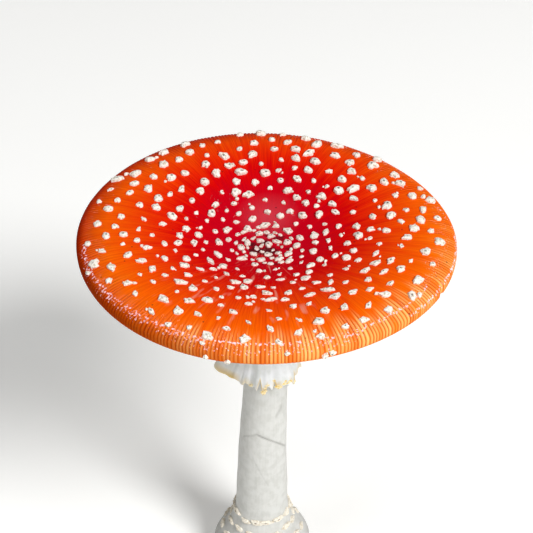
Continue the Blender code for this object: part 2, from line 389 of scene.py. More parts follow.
@dataclass(frozen=True)
class CapForm:
    """Form of the cap, shared by its skin, warts and gills. Heights are measured from the crest plane."""

    crest_height: float = 0.190
    radius: float = 0.075
    crest_radius: float = 0.061
    dish_depth: float = 0.0100
    margin_drop: float = 0.0048
    centre_x: float = 0.0019
    lifts: tuple = ((2, 0.0004, 1.57), (3, 0.0004, 1.94))
    reaches: tuple = ((1, 0.0009, -1.94), (2, 0.0012, 0.82), (3, 0.0004, 0.28))
    flesh_centre: float = 0.0190
    flesh_margin: float = 0.0040
    flesh_radius: float = 0.0728
    flesh_bend: tuple = (1.12, 0.8)
    seat_radius: float = 0.0112
    gill_inner: float = 0.0128
    gill_outer: float = 0.0724
    gill_lowest: float = 0.0250
    gill_lowest_radius: float = 0.0235
    gill_outer_drop: float = 0.0067
    gill_inner_drop: float = 0.0210
    gill_bend: float = 1.25
    step: float = 0.0004

    def skin(self, radius: Any) -> np.ndarray:
        """Height of the skin: a dish, its crest, then the margin turning down.

        Args:
            radius: radii from the cap's axis.

        Returns:
            The height at each radius.
        """
        dish = -self.dish_depth * (1 + np.cos(math.pi * np.asarray(radius) / self.crest_radius)) / 2
        share = np.clip((radius - self.crest_radius) / (self.radius - self.crest_radius), 0, 1)
        bend = -self.margin_drop * (1 - np.sqrt(1 - share * share))
        return np.where(radius <= self.crest_radius, dish, bend)

    def flesh(self, radius: Any) -> np.ndarray:
        """Height of the underside of the flesh at each radius."""
        thin = ease(radius, self.seat_radius, self.flesh_radius * self.flesh_bend[0]) ** self.flesh_bend[1]
        return -self.flesh_centre * (1 - thin) - self.flesh_margin * thin

    def gill_edge(self, radius: Any) -> np.ndarray:
        """Height of the free edge of a full gill.

        Args:
            radius: radii from the cap's axis.

        Returns:
            The height at each radius.
        """
        inner = ease(radius, self.gill_inner, self.gill_lowest_radius)
        rise = np.clip((radius - self.gill_lowest_radius) / (self.gill_outer - self.gill_lowest_radius), 0, 1)
        near = -self.gill_inner_drop - (self.gill_lowest - self.gill_inner_drop) * np.sin(inner * math.pi / 2)
        far = -self.gill_lowest + (self.gill_lowest - self.gill_outer_drop) * rise ** self.gill_bend
        return np.where(radius < self.gill_lowest_radius, near, far)

    def place(self, radius: Any, height: Any, angle: Any) -> np.ndarray:
        """Points of the cap, with the slow waves of its rim.

        Args:
            radius: radii from the cap's axis.
            height: heights over the crest plane.
            angle: angles round the axis.

        Returns:
            An array of points.
        """
        share = np.asarray(radius) / self.radius
        further, higher = (sum(size * np.cos(count * angle + phase) for count, size, phase in waves)
                           for waves in (self.reaches, self.lifts))
        reach, lift = radius + share ** 3 * further, height + share ** 2 * higher
        columns = (reach * np.cos(angle) + self.centre_x, reach * np.sin(angle), self.crest_height + lift)
        return np.stack(np.broadcast_arrays(*columns), axis=-1)

    def frame_at(self, radius: float, angle: float) -> tuple[Vector, Vector]:
        """Point and normal of the skin.

        Args:
            radius: radius from the cap's axis.
            angle: angle round the axis.

        Returns:
            The point and the unit normal there.
        """
        here = Vector(self.place(radius, self.skin(radius), angle))
        outer = Vector(self.place(radius + self.step, self.skin(radius + self.step), angle))
        aside = Vector(self.place(radius, self.skin(radius), angle + self.step / max(radius, self.step)))
        return here, (outer - here).cross(aside - here).normalized()

    def wall_at(self, drop: float, angle: float) -> tuple[Vector, Vector]:
        """Point of the rim's wall, and the way that it faces.

        Args:
            drop: depth below the crest plane.
            angle: angle round the axis.

        Returns:
            The point and the unit direction.
        """
        turned = 1 - min(drop / self.margin_drop, 1.0)
        radius = self.crest_radius + (self.radius - self.crest_radius) * math.sqrt(1 - turned * turned)
        return Vector(self.place(radius, -drop, angle)), outward(angle, turned)


@dataclass(frozen=True)
class CapPlace:
    """Where a point of the cap is, as sockets and nodes: coordinates, and way and distance from the axis."""

    tree: bpy.types.NodeTree
    coords: Any
    flat: Any
    radius: Any
    way: Any

    @classmethod
    def read(cls, tree: bpy.types.NodeTree) -> "CapPlace":
        """Add the nodes that read the place.

        Args:
            tree: the node tree.

        Returns:
            The place.
        """
        coords = add_node(tree, "ShaderNodeTexCoord").outputs["Object"]
        moved = add_node(tree, "ShaderNodeVectorMath", coords, (CapForm.centre_x, 0, 0), operation="SUBTRACT")
        flat = add_node(tree, "ShaderNodeVectorMath", moved, (1, 1, 0), operation="MULTIPLY")
        radius = add_node(tree, "ShaderNodeVectorMath", flat, operation="LENGTH")
        way = add_node(tree, "ShaderNodeVectorMath", flat, operation="NORMALIZE")
        return cls(tree, coords, flat, radius, way)

    def streaks(self, gap: float, length: float, detail: float) -> Any:
        """Noise drawn out along the radius.

        Args:
            gap: distance between streaks at the crest, in metres.
            length: how long a streak is, in metres.
            detail: the noise's detail.

        Returns:
            The node with the noise.
        """
        tree = self.tree
        turn = add_node(tree, "ShaderNodeVectorMath", self.way, CapForm.crest_radius / gap, operation="SCALE")
        out = add_node(tree, "ShaderNodeMath", self.radius, 1 / length, operation="MULTIPLY")
        spot = add_node(tree, "ShaderNodeVectorMath", turn, add_node(tree, "ShaderNodeCombineXYZ", Z=out))
        return add_node(tree, "ShaderNodeTexNoise", Vector=spot, Scale=1.0, Detail=detail)

    def towards(self, direction: tuple, limits: tuple) -> Any:
        """Share of a finish by how far a point lies towards a direction, with limits as a range."""
        near = add_node(self.tree, "ShaderNodeVectorMath", self.way, direction, operation="DOT_PRODUCT")
        return add_node(self.tree, "ShaderNodeMapRange", near, *limits)


@dataclass(frozen=True)
class CuticleFinish:
    """Wet cap cuticle: a gelatinous skin, crimson in the dish and orange where age and rain thin it.

    The eye gets a clear gloss over fine radial fibres, with pale ribs and dark furrows at the margin.
    """

    stops: tuple = (
        (0.00, "#B8001E"), (0.24, "#C00014"), (0.36, "#D00404"), (0.46, "#E02602"),
        (0.56, "#E84002"), (0.68, "#F05802"), (0.82, "#F47006"), (1.00, "#F68414"),
    )
    reach: float = 0.092
    deepest: tuple = (0.0, 0.0081, 0.0)
    squash: tuple = (1.0, 0.9, 0.0)
    fibres: tuple = (0.4 * MM, 14 * MM, 3.0)
    fibre_stray: float = 16 * MM
    fibre_tone: tuple = (0.3, 0.7, 0.90, 1.10)
    fibre_relief: float = 0.02 * MM
    broad: tuple = (3.2 * MM, 42 * MM, 2.0)
    broad_stray: float = 18 * MM
    furrow: str = "#A02800"
    furrow_share: float = 0.62
    rib: str = "#FFC474"
    # The ribs are paler by their own colour; painted light makes them palest on the front-right side, towards the key
    # light.
    rib_light_side: tuple = ((0.45, -0.89, 0.0), (0.35, 0.95, 0.03, 0.82))
    rib_patches: tuple = (0.40, 0.58, 0.3, 1.0)
    # Painted shade: the left and back rim darkened towards red-brown.
    shaded_rim: str = "#BC1600"
    shaded: tuple = ((-0.75, 0.66, 0.0), (-0.3, 0.7, 0.0, 0.8))
    shaded_radii: tuple = (64 * MM, 74 * MM)
    # Painted shade on the rim's wall, strongest on the left side that turns away from the light.
    painted_wall_shade: str = "#5A0200"
    wall_shade_side: tuple = ((-0.966, -0.259, 0.0), (0.2, 1.0, 0.0, 0.6))
    wall_heights: tuple = (0.1884, 0.1868)
    wall_radii: tuple = (69 * MM, 72 * MM)
    # Painted reflection: a pinkish sheen laid on the far side of the dish.
    painted_sheen: str = "#E890A0"
    sheen_middle: tuple = (0.001, 0.018, 0.0)
    sheen_reach: tuple = (2 * MM, 14 * MM, 0.12, 0.0)
    dirt: str = "#2E1218"
    soil_patch: float = 5 * MM
    soil_reach: tuple = (4 * MM, 24 * MM, -0.05, 0.35)
    soil_seen: tuple = (0.47, 0.62, 0.0, 0.85)
    speck_gap: float = 6 * MM
    speck_seen: tuple = (0.04, 0.07, 0.7, 0.0)
    smear: str = "#F0B8A0"
    smeared: tuple = ((-0.2, -0.98, 0.0), (0.72, 0.9))
    smear_lines: tuple = (3.6 * MM, 9 * MM, 1.0)
    smear_radii: tuple = (56 * MM, 66 * MM, 1.0, 0.0)
    smear_seen: tuple = (0.62, 0.82, 0.0, 0.5)
    # Painted highlight: whitish glint dots along the crest, where the glint band mark lies.
    painted_glint: str = "#FBDCE6"
    glint_grain: float = 1.0 * MM
    glint_lift: float = 0.25
    glint_seen: tuple = (0.75, 0.79, 0.0, 0.95)
    flesh: str = "#E6D9BC"
    underside: tuple = (-0.9, -0.4, 1.0, 0.0)
    facet: float = 0.6 * MM
    tilt: float = 0.21
    wet_slopes: tuple = (0.70, 0.84, 0.02, 0.16)

    def build(self) -> bpy.types.Material:
        """Make the material.

        Returns:
            The material.
        """
        made, tree, shader = new_material("wet cap cuticle", Roughness=0.6, IOR=1.42, Specular_IOR_Level=0.0,
                                          Coat_Roughness=0.05, Coat_IOR=1.45)
        place = CapPlace.read(tree)
        fibres, broad = place.streaks(*self.fibres), place.streaks(*self.broad)
        marks = {name: add_node(tree, "ShaderNodeAttribute", attribute_name=name).outputs["Fac"]
                 for name in ("furrow", "rib", "slime")}
        # Among these coats: painted light on the front-right ribs, painted shade on the rim and its wall, a painted
        # sheen in the dish and painted glints along the crest.
        coats = [*self.margin(place, marks, broad), self.wall(place), *self.blemishes(place),
                 self.smears(place), self.painted_glints(place, marks["slime"])]
        under = add_node(tree, "ShaderNodeMapRange", marks["furrow"], *self.underside)
        colour = paint(tree, self.gradient(place, broad, fibres), *coats, (self.flesh, under))
        bump = add_node(tree, "ShaderNodeBump", Strength=1.0, Distance=self.fibre_relief, Height=fibres)
        feed(shader, Base_Color=colour, Normal=bump)
        self.gloss(place, shader)
        return made

    def gloss(self, place: CapPlace, shader: Any) -> None:
        """A wet film of tiny facets, which catches a lamp in dots. It has dried where the margin turns down.

        Args:
            place: where a point is.
            shader: the shader that gets the film as its coat.
        """
        tree = place.tree
        facing = add_node(tree, "ShaderNodeNewGeometry").outputs["Normal"]
        cells = add_node(tree, "ShaderNodeTexVoronoi", Vector=place.coords, Scale=1 / self.facet)
        centred = add_node(tree, "ShaderNodeVectorMath", cells.outputs["Color"], (0.5, 0.5, 0.5), operation="SUBTRACT")
        lean = add_node(tree, "ShaderNodeVectorMath", centred, self.tilt, operation="SCALE")
        tilted = add_node(tree, "ShaderNodeVectorMath", facing, lean)
        normal = add_node(tree, "ShaderNodeVectorMath", tilted, operation="NORMALIZE")
        upright = add_node(tree, "ShaderNodeSeparateXYZ", facing).outputs["Z"]
        wet = add_node(tree, "ShaderNodeMapRange", upright, *self.wet_slopes)
        feed(shader, Coat_Normal=normal, Coat_Weight=wet)

    def gradient(self, place: CapPlace, broad: Any, fibres: Any) -> Any:
        """Crimson to orange by the distance from the deepest colour, ragged along the streaks.

        Args:
            place: where a point is.
            broad: noise in broad streaks.
            fibres: noise in fine streaks.

        Returns:
            The node with the colour.
        """
        tree = place.tree
        oval = add_node(tree, "ShaderNodeVectorMath", place.flat, self.squash, operation="MULTIPLY")
        reach = add_node(tree, "ShaderNodeVectorMath", oval, self.deepest, operation="DISTANCE")
        for noisy, most in ((broad, self.broad_stray), (fibres, self.fibre_stray)):
            stray = add_node(tree, "ShaderNodeMath", noisy, most, -most / 2, operation="MULTIPLY_ADD")
            reach = add_node(tree, "ShaderNodeMath", reach, stray)
        share = add_node(tree, "ShaderNodeMath", reach, self.reach, operation="DIVIDE")
        ramp = add_node(tree, "ShaderNodeValToRGB", share, stops=self.stops)
        tone = add_node(tree, "ShaderNodeMapRange", fibres, *self.fibre_tone)
        return add_node(tree, "ShaderNodeVectorMath", ramp, tone, operation="SCALE")

    def margin(self, place: CapPlace, marks: dict, broad: Any) -> list[tuple]:
        """Dark furrows and pale ribs, from the marks that the skin's mesh carries, with painted light on the ribs of
        the front-right side, and painted shade that darkens the left and back rim to red-brown.

        Args:
            place: where a point is.
            marks: sockets with the marks, by name.
            broad: noise in broad streaks.

        Returns:
            Three coats of colour.
        """
        patchy = add_node(place.tree, "ShaderNodeMapRange", broad, *self.rib_patches)
        outer = add_node(place.tree, "ShaderNodeMapRange", place.radius, *self.shaded_radii)
        # Painted light on the front-right ribs and painted shade on the left and back rim are among these coats.
        return [(self.furrow, marks["furrow"], self.furrow_share),
                (self.rib, place.towards(*self.rib_light_side), patchy, marks["rib"]),
                (self.shaded_rim, place.towards(*self.shaded), outer)]

    def wall(self, place: CapPlace) -> tuple:
        """Painted shade: the rim's wall darkened to red-brown on its left side, which turns away from the light.

        Args:
            place: where a point is.

        Returns:
            A coat of colour.
        """
        height = add_node(place.tree, "ShaderNodeSeparateXYZ", place.coords).outputs["Z"]
        down = add_node(place.tree, "ShaderNodeMapRange", height, *self.wall_heights)
        outer = add_node(place.tree, "ShaderNodeMapRange", place.radius, *self.wall_radii)
        return self.painted_wall_shade, place.towards(*self.wall_shade_side), down, outer

    def blemishes(self, place: CapPlace) -> list[tuple]:
        """A painted pinkish sheen in the far side of the dish, in place of a reflection, then soil between the middle
        warts and a few dark specks.

        Args:
            place: where a point is.

        Returns:
            Three coats of colour.
        """
        tree = place.tree
        # Painted reflection: the sheen fades out from a spot in the far side of the dish.
        away = add_node(tree, "ShaderNodeVectorMath", place.flat, self.sheen_middle, operation="DISTANCE")
        gloss = add_node(tree, "ShaderNodeMapRange", away, *self.sheen_reach)
        patch = add_node(tree, "ShaderNodeTexNoise", Vector=place.coords, Scale=1 / self.soil_patch, Detail=5.0)
        lean = add_node(tree, "ShaderNodeMapRange", place.radius, *self.soil_reach)
        soil = add_node(tree, "ShaderNodeMath", patch, lean, operation="SUBTRACT")
        cells = add_node(tree, "ShaderNodeTexVoronoi", Vector=place.coords, Scale=1 / self.speck_gap)
        return [(self.painted_sheen, gloss),
                (self.dirt, add_node(tree, "ShaderNodeMapRange", soil, *self.soil_seen)),
                (self.dirt, add_node(tree, "ShaderNodeMapRange", cells, *self.speck_seen))]

    def smears(self, place: CapPlace) -> tuple:
        """Dried whitish smears that run outwards on the side that faces the camera.

        Args:
            place: where a point is.

        Returns:
            A coat of colour.
        """
        inner = add_node(place.tree, "ShaderNodeMapRange", place.radius, *self.smear_radii)
        seen = add_node(place.tree, "ShaderNodeMapRange", place.streaks(*self.smear_lines), *self.smear_seen)
        return self.smear, place.towards(*self.smeared), inner, seen

    def painted_glints(self, place: CapPlace, mark: Any) -> tuple:
        """Painted highlights: whitish glint dots along the crest, where the wet skin would catch a lamp.

        Args:
            place: where a point is.
            mark: socket with how strongly the painted glints lie there.

        Returns:
            A coat of colour.
        """
        tree = place.tree
        grain = add_node(tree, "ShaderNodeTexNoise", Vector=place.coords, Scale=1 / self.glint_grain, Detail=3.0)
        raised = add_node(tree, "ShaderNodeMath", mark, self.glint_lift, grain, operation="MULTIPLY_ADD")
        return self.painted_glint, add_node(tree, "ShaderNodeMapRange", raised, *self.glint_seen), mark


@dataclass(frozen=True)
class FleshFinish:
    """Bare fungus flesh: dry, matt and finely fibrous, with stains and painted shade where the mesh is marked for
    them.
    """

    name: str
    pale: str
    shade: str
    stain: str
    stain_share: float
    stain_bend: float = 1.0
    mottle: float = 7 * MM
    fibre_gap: float = 0.5 * MM
    fibre_length: float = 12 * MM
    fibre_tone: float = 0.4
    tones: tuple = (0.55, 0.8)
    relief: float = 0.10 * MM
    relief_share: float = 0.6

    def build(self) -> bpy.types.Material:
        """Make the material.

        Returns:
            The material.
        """
        made, tree, shader = new_material(self.name, Roughness=0.72, IOR=1.4, Specular_IOR_Level=0.2)
        coords = add_node(tree, "ShaderNodeTexCoord").outputs["Object"]
        scale = (1 / self.fibre_gap, 1 / self.fibre_gap, 1 / self.fibre_length)
        drawn = add_node(tree, "ShaderNodeMapping", Vector=coords, Scale=scale)
        fibres = add_node(tree, "ShaderNodeTexNoise", Vector=drawn, Scale=1.0, Detail=3.0)
        mottle = add_node(tree, "ShaderNodeTexNoise", Vector=coords, Scale=1 / self.mottle, Detail=5.0)
        tone = add_node(tree, "ShaderNodeMath", fibres, self.fibre_tone, mottle, operation="MULTIPLY_ADD")
        share = add_node(tree, "ShaderNodeMapRange", tone, *self.tones)
        mark = add_node(tree, "ShaderNodeAttribute", attribute_name="stain").outputs["Fac"]
        bent = add_node(tree, "ShaderNodeMath", mark, self.stain_bend, operation="POWER")
        colour = paint(tree, linear(self.shade), (self.pale, share), (self.stain, bent, self.stain_share))
        bump = add_node(tree, "ShaderNodeBump", Strength=self.relief_share, Distance=self.relief, Height=fibres)
        feed(shader, Base_Color=colour, Normal=bump)
        return made


@dataclass(frozen=True)
class ScrapFinish:
    """Dried veil: chalky, crumbly scraps, with soil caught on their tops, and a warmer tone with painted shade in the
    low places of their crumbled relief.
    """

    name: str
    pale: str
    tone_and_crack_shade: str
    dirt: str
    dirt_share: float
    dirt_tops: tuple = (0.66, 0.84)
    dirt_patch: float = 9 * MM
    dirt_patches: tuple = (0.45, 0.54)
    blush: str = "#A84450"
    blush_share: float = 0.0
    blush_reach: float = 30 * MM
    crumb: float = 0.8 * MM
    crumb_tones: tuple = (0.36, 0.50)
    relief: float = 0.3 * MM
    relief_share: float = 0.8

    def build(self) -> bpy.types.Material:
        """Make the material.

        Returns:
            The material.
        """
        made, tree, shader = new_material(self.name, Roughness=0.85, IOR=1.4, Specular_IOR_Level=0.0)
        coords = add_node(tree, "ShaderNodeTexCoord").outputs["Object"]
        crumbs = add_node(tree, "ShaderNodeTexNoise", Vector=coords, Scale=1 / self.crumb, Detail=4.0)
        patches = add_node(tree, "ShaderNodeTexNoise", Vector=coords, Scale=1 / self.dirt_patch, Detail=2.0)
        # Painted shade: the noise that sinks the relief also gives its low places the warmer, darker colour.
        share = add_node(tree, "ShaderNodeMapRange", crumbs, *self.crumb_tones)
        top = add_node(tree, "ShaderNodeAttribute", attribute_name="top").outputs["Fac"]
        tip = add_node(tree, "ShaderNodeMapRange", top, *self.dirt_tops)
        some = add_node(tree, "ShaderNodeMapRange", patches, *self.dirt_patches)
        flat = add_node(tree, "ShaderNodeVectorMath", coords, (1, 1, 0), operation="MULTIPLY")
        inwards = add_node(tree, "ShaderNodeVectorMath", flat, operation="LENGTH")
        tinge = add_node(tree, "ShaderNodeMapRange", inwards, 0.0, self.blush_reach, self.blush_share, 0.0)
        colour = paint(tree, linear(self.tone_and_crack_shade), (self.pale, share), (self.blush, tinge),
                       (self.dirt, tip, some, self.dirt_share))
        bump = add_node(tree, "ShaderNodeBump", Strength=self.relief_share, Distance=self.relief, Height=crumbs)
        feed(shader, Base_Color=colour, Normal=bump)
        return made


@dataclass
class Scrap:
    """One scrap of veil: where it sits, which way it lies and its length, breadth and height."""

    spot: Vector
    normal: Vector
    along: Vector
    size: tuple
    kind: int

    def turned(self) -> tuple:
        """Its rotation.

        Returns:
            The Euler angle.
        """
        along = (self.along - self.normal * self.along.dot(self.normal)).normalized()
        across = self.normal.cross(along)
        return tuple(Matrix((along, across, self.normal)).transposed().to_euler())


class ScrapStyle(Enum):
    """Shapes of scrap: how many kinds, spread of the outline, unevenness, heights of its tip, and its levels.

    A level is a share of the outline, and the height where it lies.
    """

    ROUND = (10, 0.07, 0.05, (1.0,), ((1.00, -0.6), (1.00, 0.05), (0.97, 0.40), (0.82, 0.72), (0.50, 0.93)))
    RAGGED = (8, 0.20, 0.14, (0.62, 0.8, 1.05, 1.2), ((1.00, -0.6), (1.00, 0.12), (0.92, 0.58), (0.50, 0.80)))


@dataclass
class ScrapMaker:
    """Makes torn scraps of veil and sets them on a surface with Geometry Nodes."""

    sides: int = 12
    half_width: float = 0.46
    lobes: tuple = (2, 3, 4, 5)
    lobe_most: float = 0.07
    peak_stray: float = 0.14
    slope_most: float = 0.5
    grain: float = 1.1 * MM
    crease: float = math.radians(34)
    seed: int = 11
    shapes: bpy.types.Collection = field(init=False)

    def __post_init__(self) -> None:
        """Make the kinds of scrap that the tree picks from."""
        self.shapes = bpy.data.collections.new("scrap kinds")
        draw = random.Random(self.seed)
        for style in ScrapStyle:
            for _ in range(style.value[0]):
                number = len(self.shapes.objects)
                shape = bpy.data.objects.new(f"scrap_kind_{number:02d}", self.scrap(draw, style))
                self.shapes.objects.link(shape)

    def pick(self, draw: random.Random, style: ScrapStyle) -> int:
        """Pick one kind of a style.

        Args:
            draw: the random draws.
            style: the style.

        Returns:
            The kind's number.
        """
        styles = list(ScrapStyle)
        before = sum(other.value[0] for other in styles[:styles.index(style)])
        return before + draw.randrange(style.value[0])

    def scrap(self, draw: random.Random, style: ScrapStyle) -> bpy.types.Mesh:
        """One scrap about 1 long, 1 broad and 1 high: a torn outline, steep sides and an uneven top.

        Args:
            draw: the random draws.
            style: its style.

        Returns:
            Its mesh.
        """
        _, spread, uneven, tips, levels = style.value
        turn = angles(self.sides)
        lobes = [(count, draw.uniform(0.00, self.lobe_most), draw.uniform(0, 6.28)) for count in self.lobes]
        outline = self.half_width + sum(size * np.cos(count * turn + phase) for count, size, phase in lobes)
        outline = outline * np.array([draw.uniform(1 - spread, 1 + spread) for _ in turn])
        peak = [draw.uniform(-self.peak_stray, self.peak_stray) for _ in range(2)]
        slope = [draw.uniform(-self.slope_most, self.slope_most) for _ in range(2)]
        rings, tops = [], []
        for level, (share, height) in enumerate(levels):
            jitter = np.array([draw.uniform(1 - uneven, 1 + uneven) if level > 1 else 1.0 for _ in turn])
            reach = outline * share * jitter
            x = reach * np.cos(turn) + peak[0] * (1 - share)
            y = reach * np.sin(turn) + peak[1] * (1 - share)
            rough = np.array([draw.uniform(-uneven, uneven) if level > 1 else 0.0 for _ in turn])
            z = height * (1 + (slope[0] * x + slope[1] * y) * (height > 0)) + rough
            rings.append(np.stack([x, y, z], axis=-1))
            tops.append(np.full(self.sides, 1 - share))
        tip = draw.choice(tips) if len(tips) > 1 else tips[0]
        mesh = mesh_of_rings("scrap", rings, ((0, 0, levels[0][1]), (*peak, tip)), top=tops)
        mesh.attributes["top"].data[len(mesh.vertices) - 1].value = 1.0
        return mesh

    def tree(self) -> bpy.types.NodeTree:
        """The node tree: a scrap on every point, picked, turned and sized by the point, then crumbled by noise.

        Returns:
            The tree.
        """
        tree, given = new_tree("scraps on a skin", Kinds="Collection", Crumble="Float", Grain="Float",
                               Seed="Float", Finish="Material")
        kinds = add_node(tree, "GeometryNodeCollectionInfo", Collection=given["Kinds"], Separate_Children=True,
                         Reset_Children=True)
        pick, turn, size = (
            add_node(tree, "GeometryNodeInputNamedAttribute", data_type=kind, Name=name)
            for name, kind in (("kind", "INT"), ("turn", "FLOAT_VECTOR"), ("size", "FLOAT_VECTOR")))
        set_on = add_node(tree, "GeometryNodeInstanceOnPoints", Points=given["Geometry"], Instance=kinds,
                          Pick_Instance=True, Instance_Index=pick, Rotation=turn, Scale=size)
        real = add_node(tree, "GeometryNodeRealizeInstances", set_on)
        grain = add_node(tree, "ShaderNodeTexNoise", noise_dimensions="4D", W=given["Seed"],
                         Scale=given["Grain"], Detail=2.0).outputs["Color"]
        centred = add_node(tree, "ShaderNodeVectorMath", grain, (0.5, 0.5, 0.5), operation="SUBTRACT")
        shift = add_node(tree, "ShaderNodeVectorMath", centred, given["Crumble"], operation="SCALE")
        return close_tree(tree, add_node(tree, "GeometryNodeSetPosition", real, Offset=shift), given["Finish"])

    def lay(self, name: str, scraps: list[Scrap], finish: bpy.types.Material, crumble: float) -> bpy.types.Mesh:
        """Set scraps on a surface.

        Args:
            name: the mesh's name.
            scraps: the scraps.
            finish: their material.
            crumble: how far noise moves their corners, in metres.

        Returns:
            One plain mesh.
        """
        points = bpy.data.meshes.new(name + " points")
        points.from_pydata([scrap.spot for scrap in scraps], [], [])
        vectors = {"turn": [scrap.turned() for scrap in scraps], "size": [scrap.size for scrap in scraps]}
        for mark, values in vectors.items():
            points.attributes.new(mark, "FLOAT_VECTOR", "POINT").data.foreach_set("vector", np.ravel(values))
        kinds = [scrap.kind for scrap in scraps]
        points.attributes.new("kind", "INT", "POINT").data.foreach_set("value", kinds)
        values = {"Kinds": self.shapes, "Crumble": crumble, "Grain": 1 / self.grain, "Seed": float(self.seed),
                  "Finish": finish}
        mesh = grow(name, points, self.tree(), values)
        mesh.set_sharp_from_angle(angle=self.crease)
        return mesh


@dataclass
class Cap:
    """The cap: skin, warts and the underside of its flesh."""

    form: CapForm
    maker: ScrapMaker
    grooves: int = 312
    groove_depth: float = 0.26 * MM
    groove_start: float = 0.0630
    groove_full: float = 0.0715
    groove_wander: tuple = ((2.6, 30, 3.0), (1.2, 90, 7.0))
    groove_late: tuple = (5 * MM, 120, 11.0)
    groove_strength: tuple = (0.92, 0.4, 170, 5.0)
    groove_most: float = 1.1
    groove_pull: float = 0.6
    pull_start: float = 0.066
    smooth_within: float = 0.05
    coarse: int = 156
    middle: int = 624
    fine: int = 1872
    dish_rings: tuple = (0.002, 0.030, 13)
    slope_rings: tuple = (0.032, 0.0565, 16)
    crest_rings: tuple = (0.0578, 0.0592)
    bend_rings: int = 13
    lip: tuple = ((0.0750, 0.0060), (0.0749, 0.0071), (0.0745, 0.0081), (0.0739, 0.0085), (0.0732, 0.0080),
                  (0.0729, 0.0062))
    under_edge: float = 0.0727
    under_rings: tuple = (0.070, 0.004, 22)
    swell: tuple = ((0.10 * MM, 0.011), (0.04 * MM, 0.003))
    glint_band_fade: float = 6.0
    # Painted highlights: lines near the crest where glint dots are painted; each has a width in mm, a strength, and
    # points of angle in degrees and radius in mm.
    glint_band_lines: tuple = (
        (1.3, 1.0, ((183, 71.8), (206, 72.4), (222, 71.2), (240, 71.3), (270, 70.9), (292, 71.6), (317, 71.0),
                    (334, 70.3))),
        (0.7, 1.0, ((312, 74.4), (355, 74.6), (366, 73.6), (374, 72.0), (386, 71.0))),
        (1.8, 0.7, ((184, 72.2), (205, 73.2), (230, 73.0), (262, 73.6), (285, 73.8), (303, 73.2))),
    )
    nick_angle: float = math.radians(-27)
    nick_width: float = math.radians(1.8)
    nick_depth: float = 1.2 * MM
    nick_start: float = 0.072
    wart_seed: int = 41
    wart_tries: int = 26000
    wart_field: float = 0.0705
    wart_gap: tuple = (0.0036, 0.0063, 0.0014)
    wart_gap_bend: float = 0.9
    wart_width: tuple = (0.0031, 0.0037)
    wart_spread: tuple = (0.62, 1.42)
    wart_lean: float = 0.6
    wart_stretch: tuple = (1.0, 1.5)
    wart_largest: float = 0.86
    wart_rise: float = 0.25
    wart_scale: float = 0.96
    wart_crumble: float = 0.25 * MM
    front_less: float = 0.14
    back_taller: float = 0.14
    middle_more: float = 0.10
    crowded: float = 0.0130
    ragged_from: float = 0.030
    ragged_share: tuple = (0.15, 0.8)
    shape_seed: int = 46
    crumb_share: float = 0.16
    crumb_away: tuple = (0.62, 0.85)
    crumb_width: tuple = (0.25, 0.42)
    crumb_shape: tuple = (1.3, 1.0, 0.6)
    fillers: int = 200
    filler_gap: float = 2.4 * MM
    filler_width: tuple = (1.2, 2.0)
    filler_shape: tuple = (1.5, 1.0, 0.4)
    rim_scraps: tuple = ((252.5, 6.6), (259, 7.4), (251, 2.2), (276, 3.4), (287, 6.4), (289, 5.6), (201, 2.6))
    rim_width: tuple = (2.0, 3.0)
    rim_shape: tuple = (1.0, 0.8, 0.5)
    cuticle: CuticleFinish = CuticleFinish()
    chalk: ScrapFinish = ScrapFinish(
        "dried veil on the cap", "#F3EFE6", "#C8B9A2", "#4A403C", 0.85, blush_share=0.25)

    def build(self) -> None:
        """Make the skin and the warts."""
        piece("cap_skin", self.skin(), self.cuticle.build(), "cap_skin", "cap")
        chalk = self.chalk.build()
        piece("warts", self.maker.lay("warts", self.warts(), chalk, self.wart_crumble), chalk, "cap_skin")

    def furrows(self, radius: float, turn: np.ndarray) -> tuple[np.ndarray, np.ndarray]:
        """The grooves of the margin at one radius.

        Args:
            radius: the radius.
            turn: the angles.

        Returns:
            How deep into a furrow each point is, and how far up a rib, each from 0 to 1.
        """
        warp = sum(most * ripple(turn, cells, layer) for most, cells, layer in self.groove_wander)
        late, *bumps = self.groove_late
        start = ease(radius + late * ripple(turn, *bumps), self.groove_start, self.groove_full)
        usual, more, *bumps = self.groove_strength
        strength = np.clip(start * (usual + more * ripple(turn, *bumps)), 0, self.groove_most)
        valley = (0.5 - 0.5 * np.cos(self.grooves * turn + warp)) ** 2.0
        return strength * valley, strength * (1 - valley)

    def torn(self, turn: np.ndarray) -> np.ndarray:
        """How far the nick sets the rim back at each angle."""
        return self.nick_depth * np.clip(1 - off_angle(turn, self.nick_angle) / self.nick_width, 0, 1)

    def skin(self) -> bpy.types.Mesh:
        """Skin and underside as one closed mesh, with the marks that its finish reads.

        Returns:
            The mesh.
        """
        form = self.form
        turned = np.sin(np.linspace(0.0, math.pi / 2, self.bend_rings))
        bend = form.crest_radius + (form.radius - form.crest_radius) * turned
        rows = [self.upper_ring(radius, self.coarse) for radius in np.linspace(*self.dish_rings)]
        rows += [self.upper_ring(radius, self.middle) for radius in np.linspace(*self.slope_rings)]
        rows += [self.upper_ring(radius, self.fine) for radius in (*self.crest_rings, *bend)]
        rows += [self.lip_ring(step) for step in range(len(self.lip))]
        rows += [self.under_ring(self.under_edge, self.middle)]
        rows += [self.under_ring(radius, self.coarse) for radius in np.linspace(*self.under_rings)]
        rings, furrows, ribs, glint_bands = zip(*rows)
        poles = (form.place(0, form.skin(0.0), 0.0), form.place(0, form.flesh(0.0), 0.0))
        return mesh_of_rings("cap_skin", rings, poles, furrow=furrows, rib=ribs, slime=glint_bands)

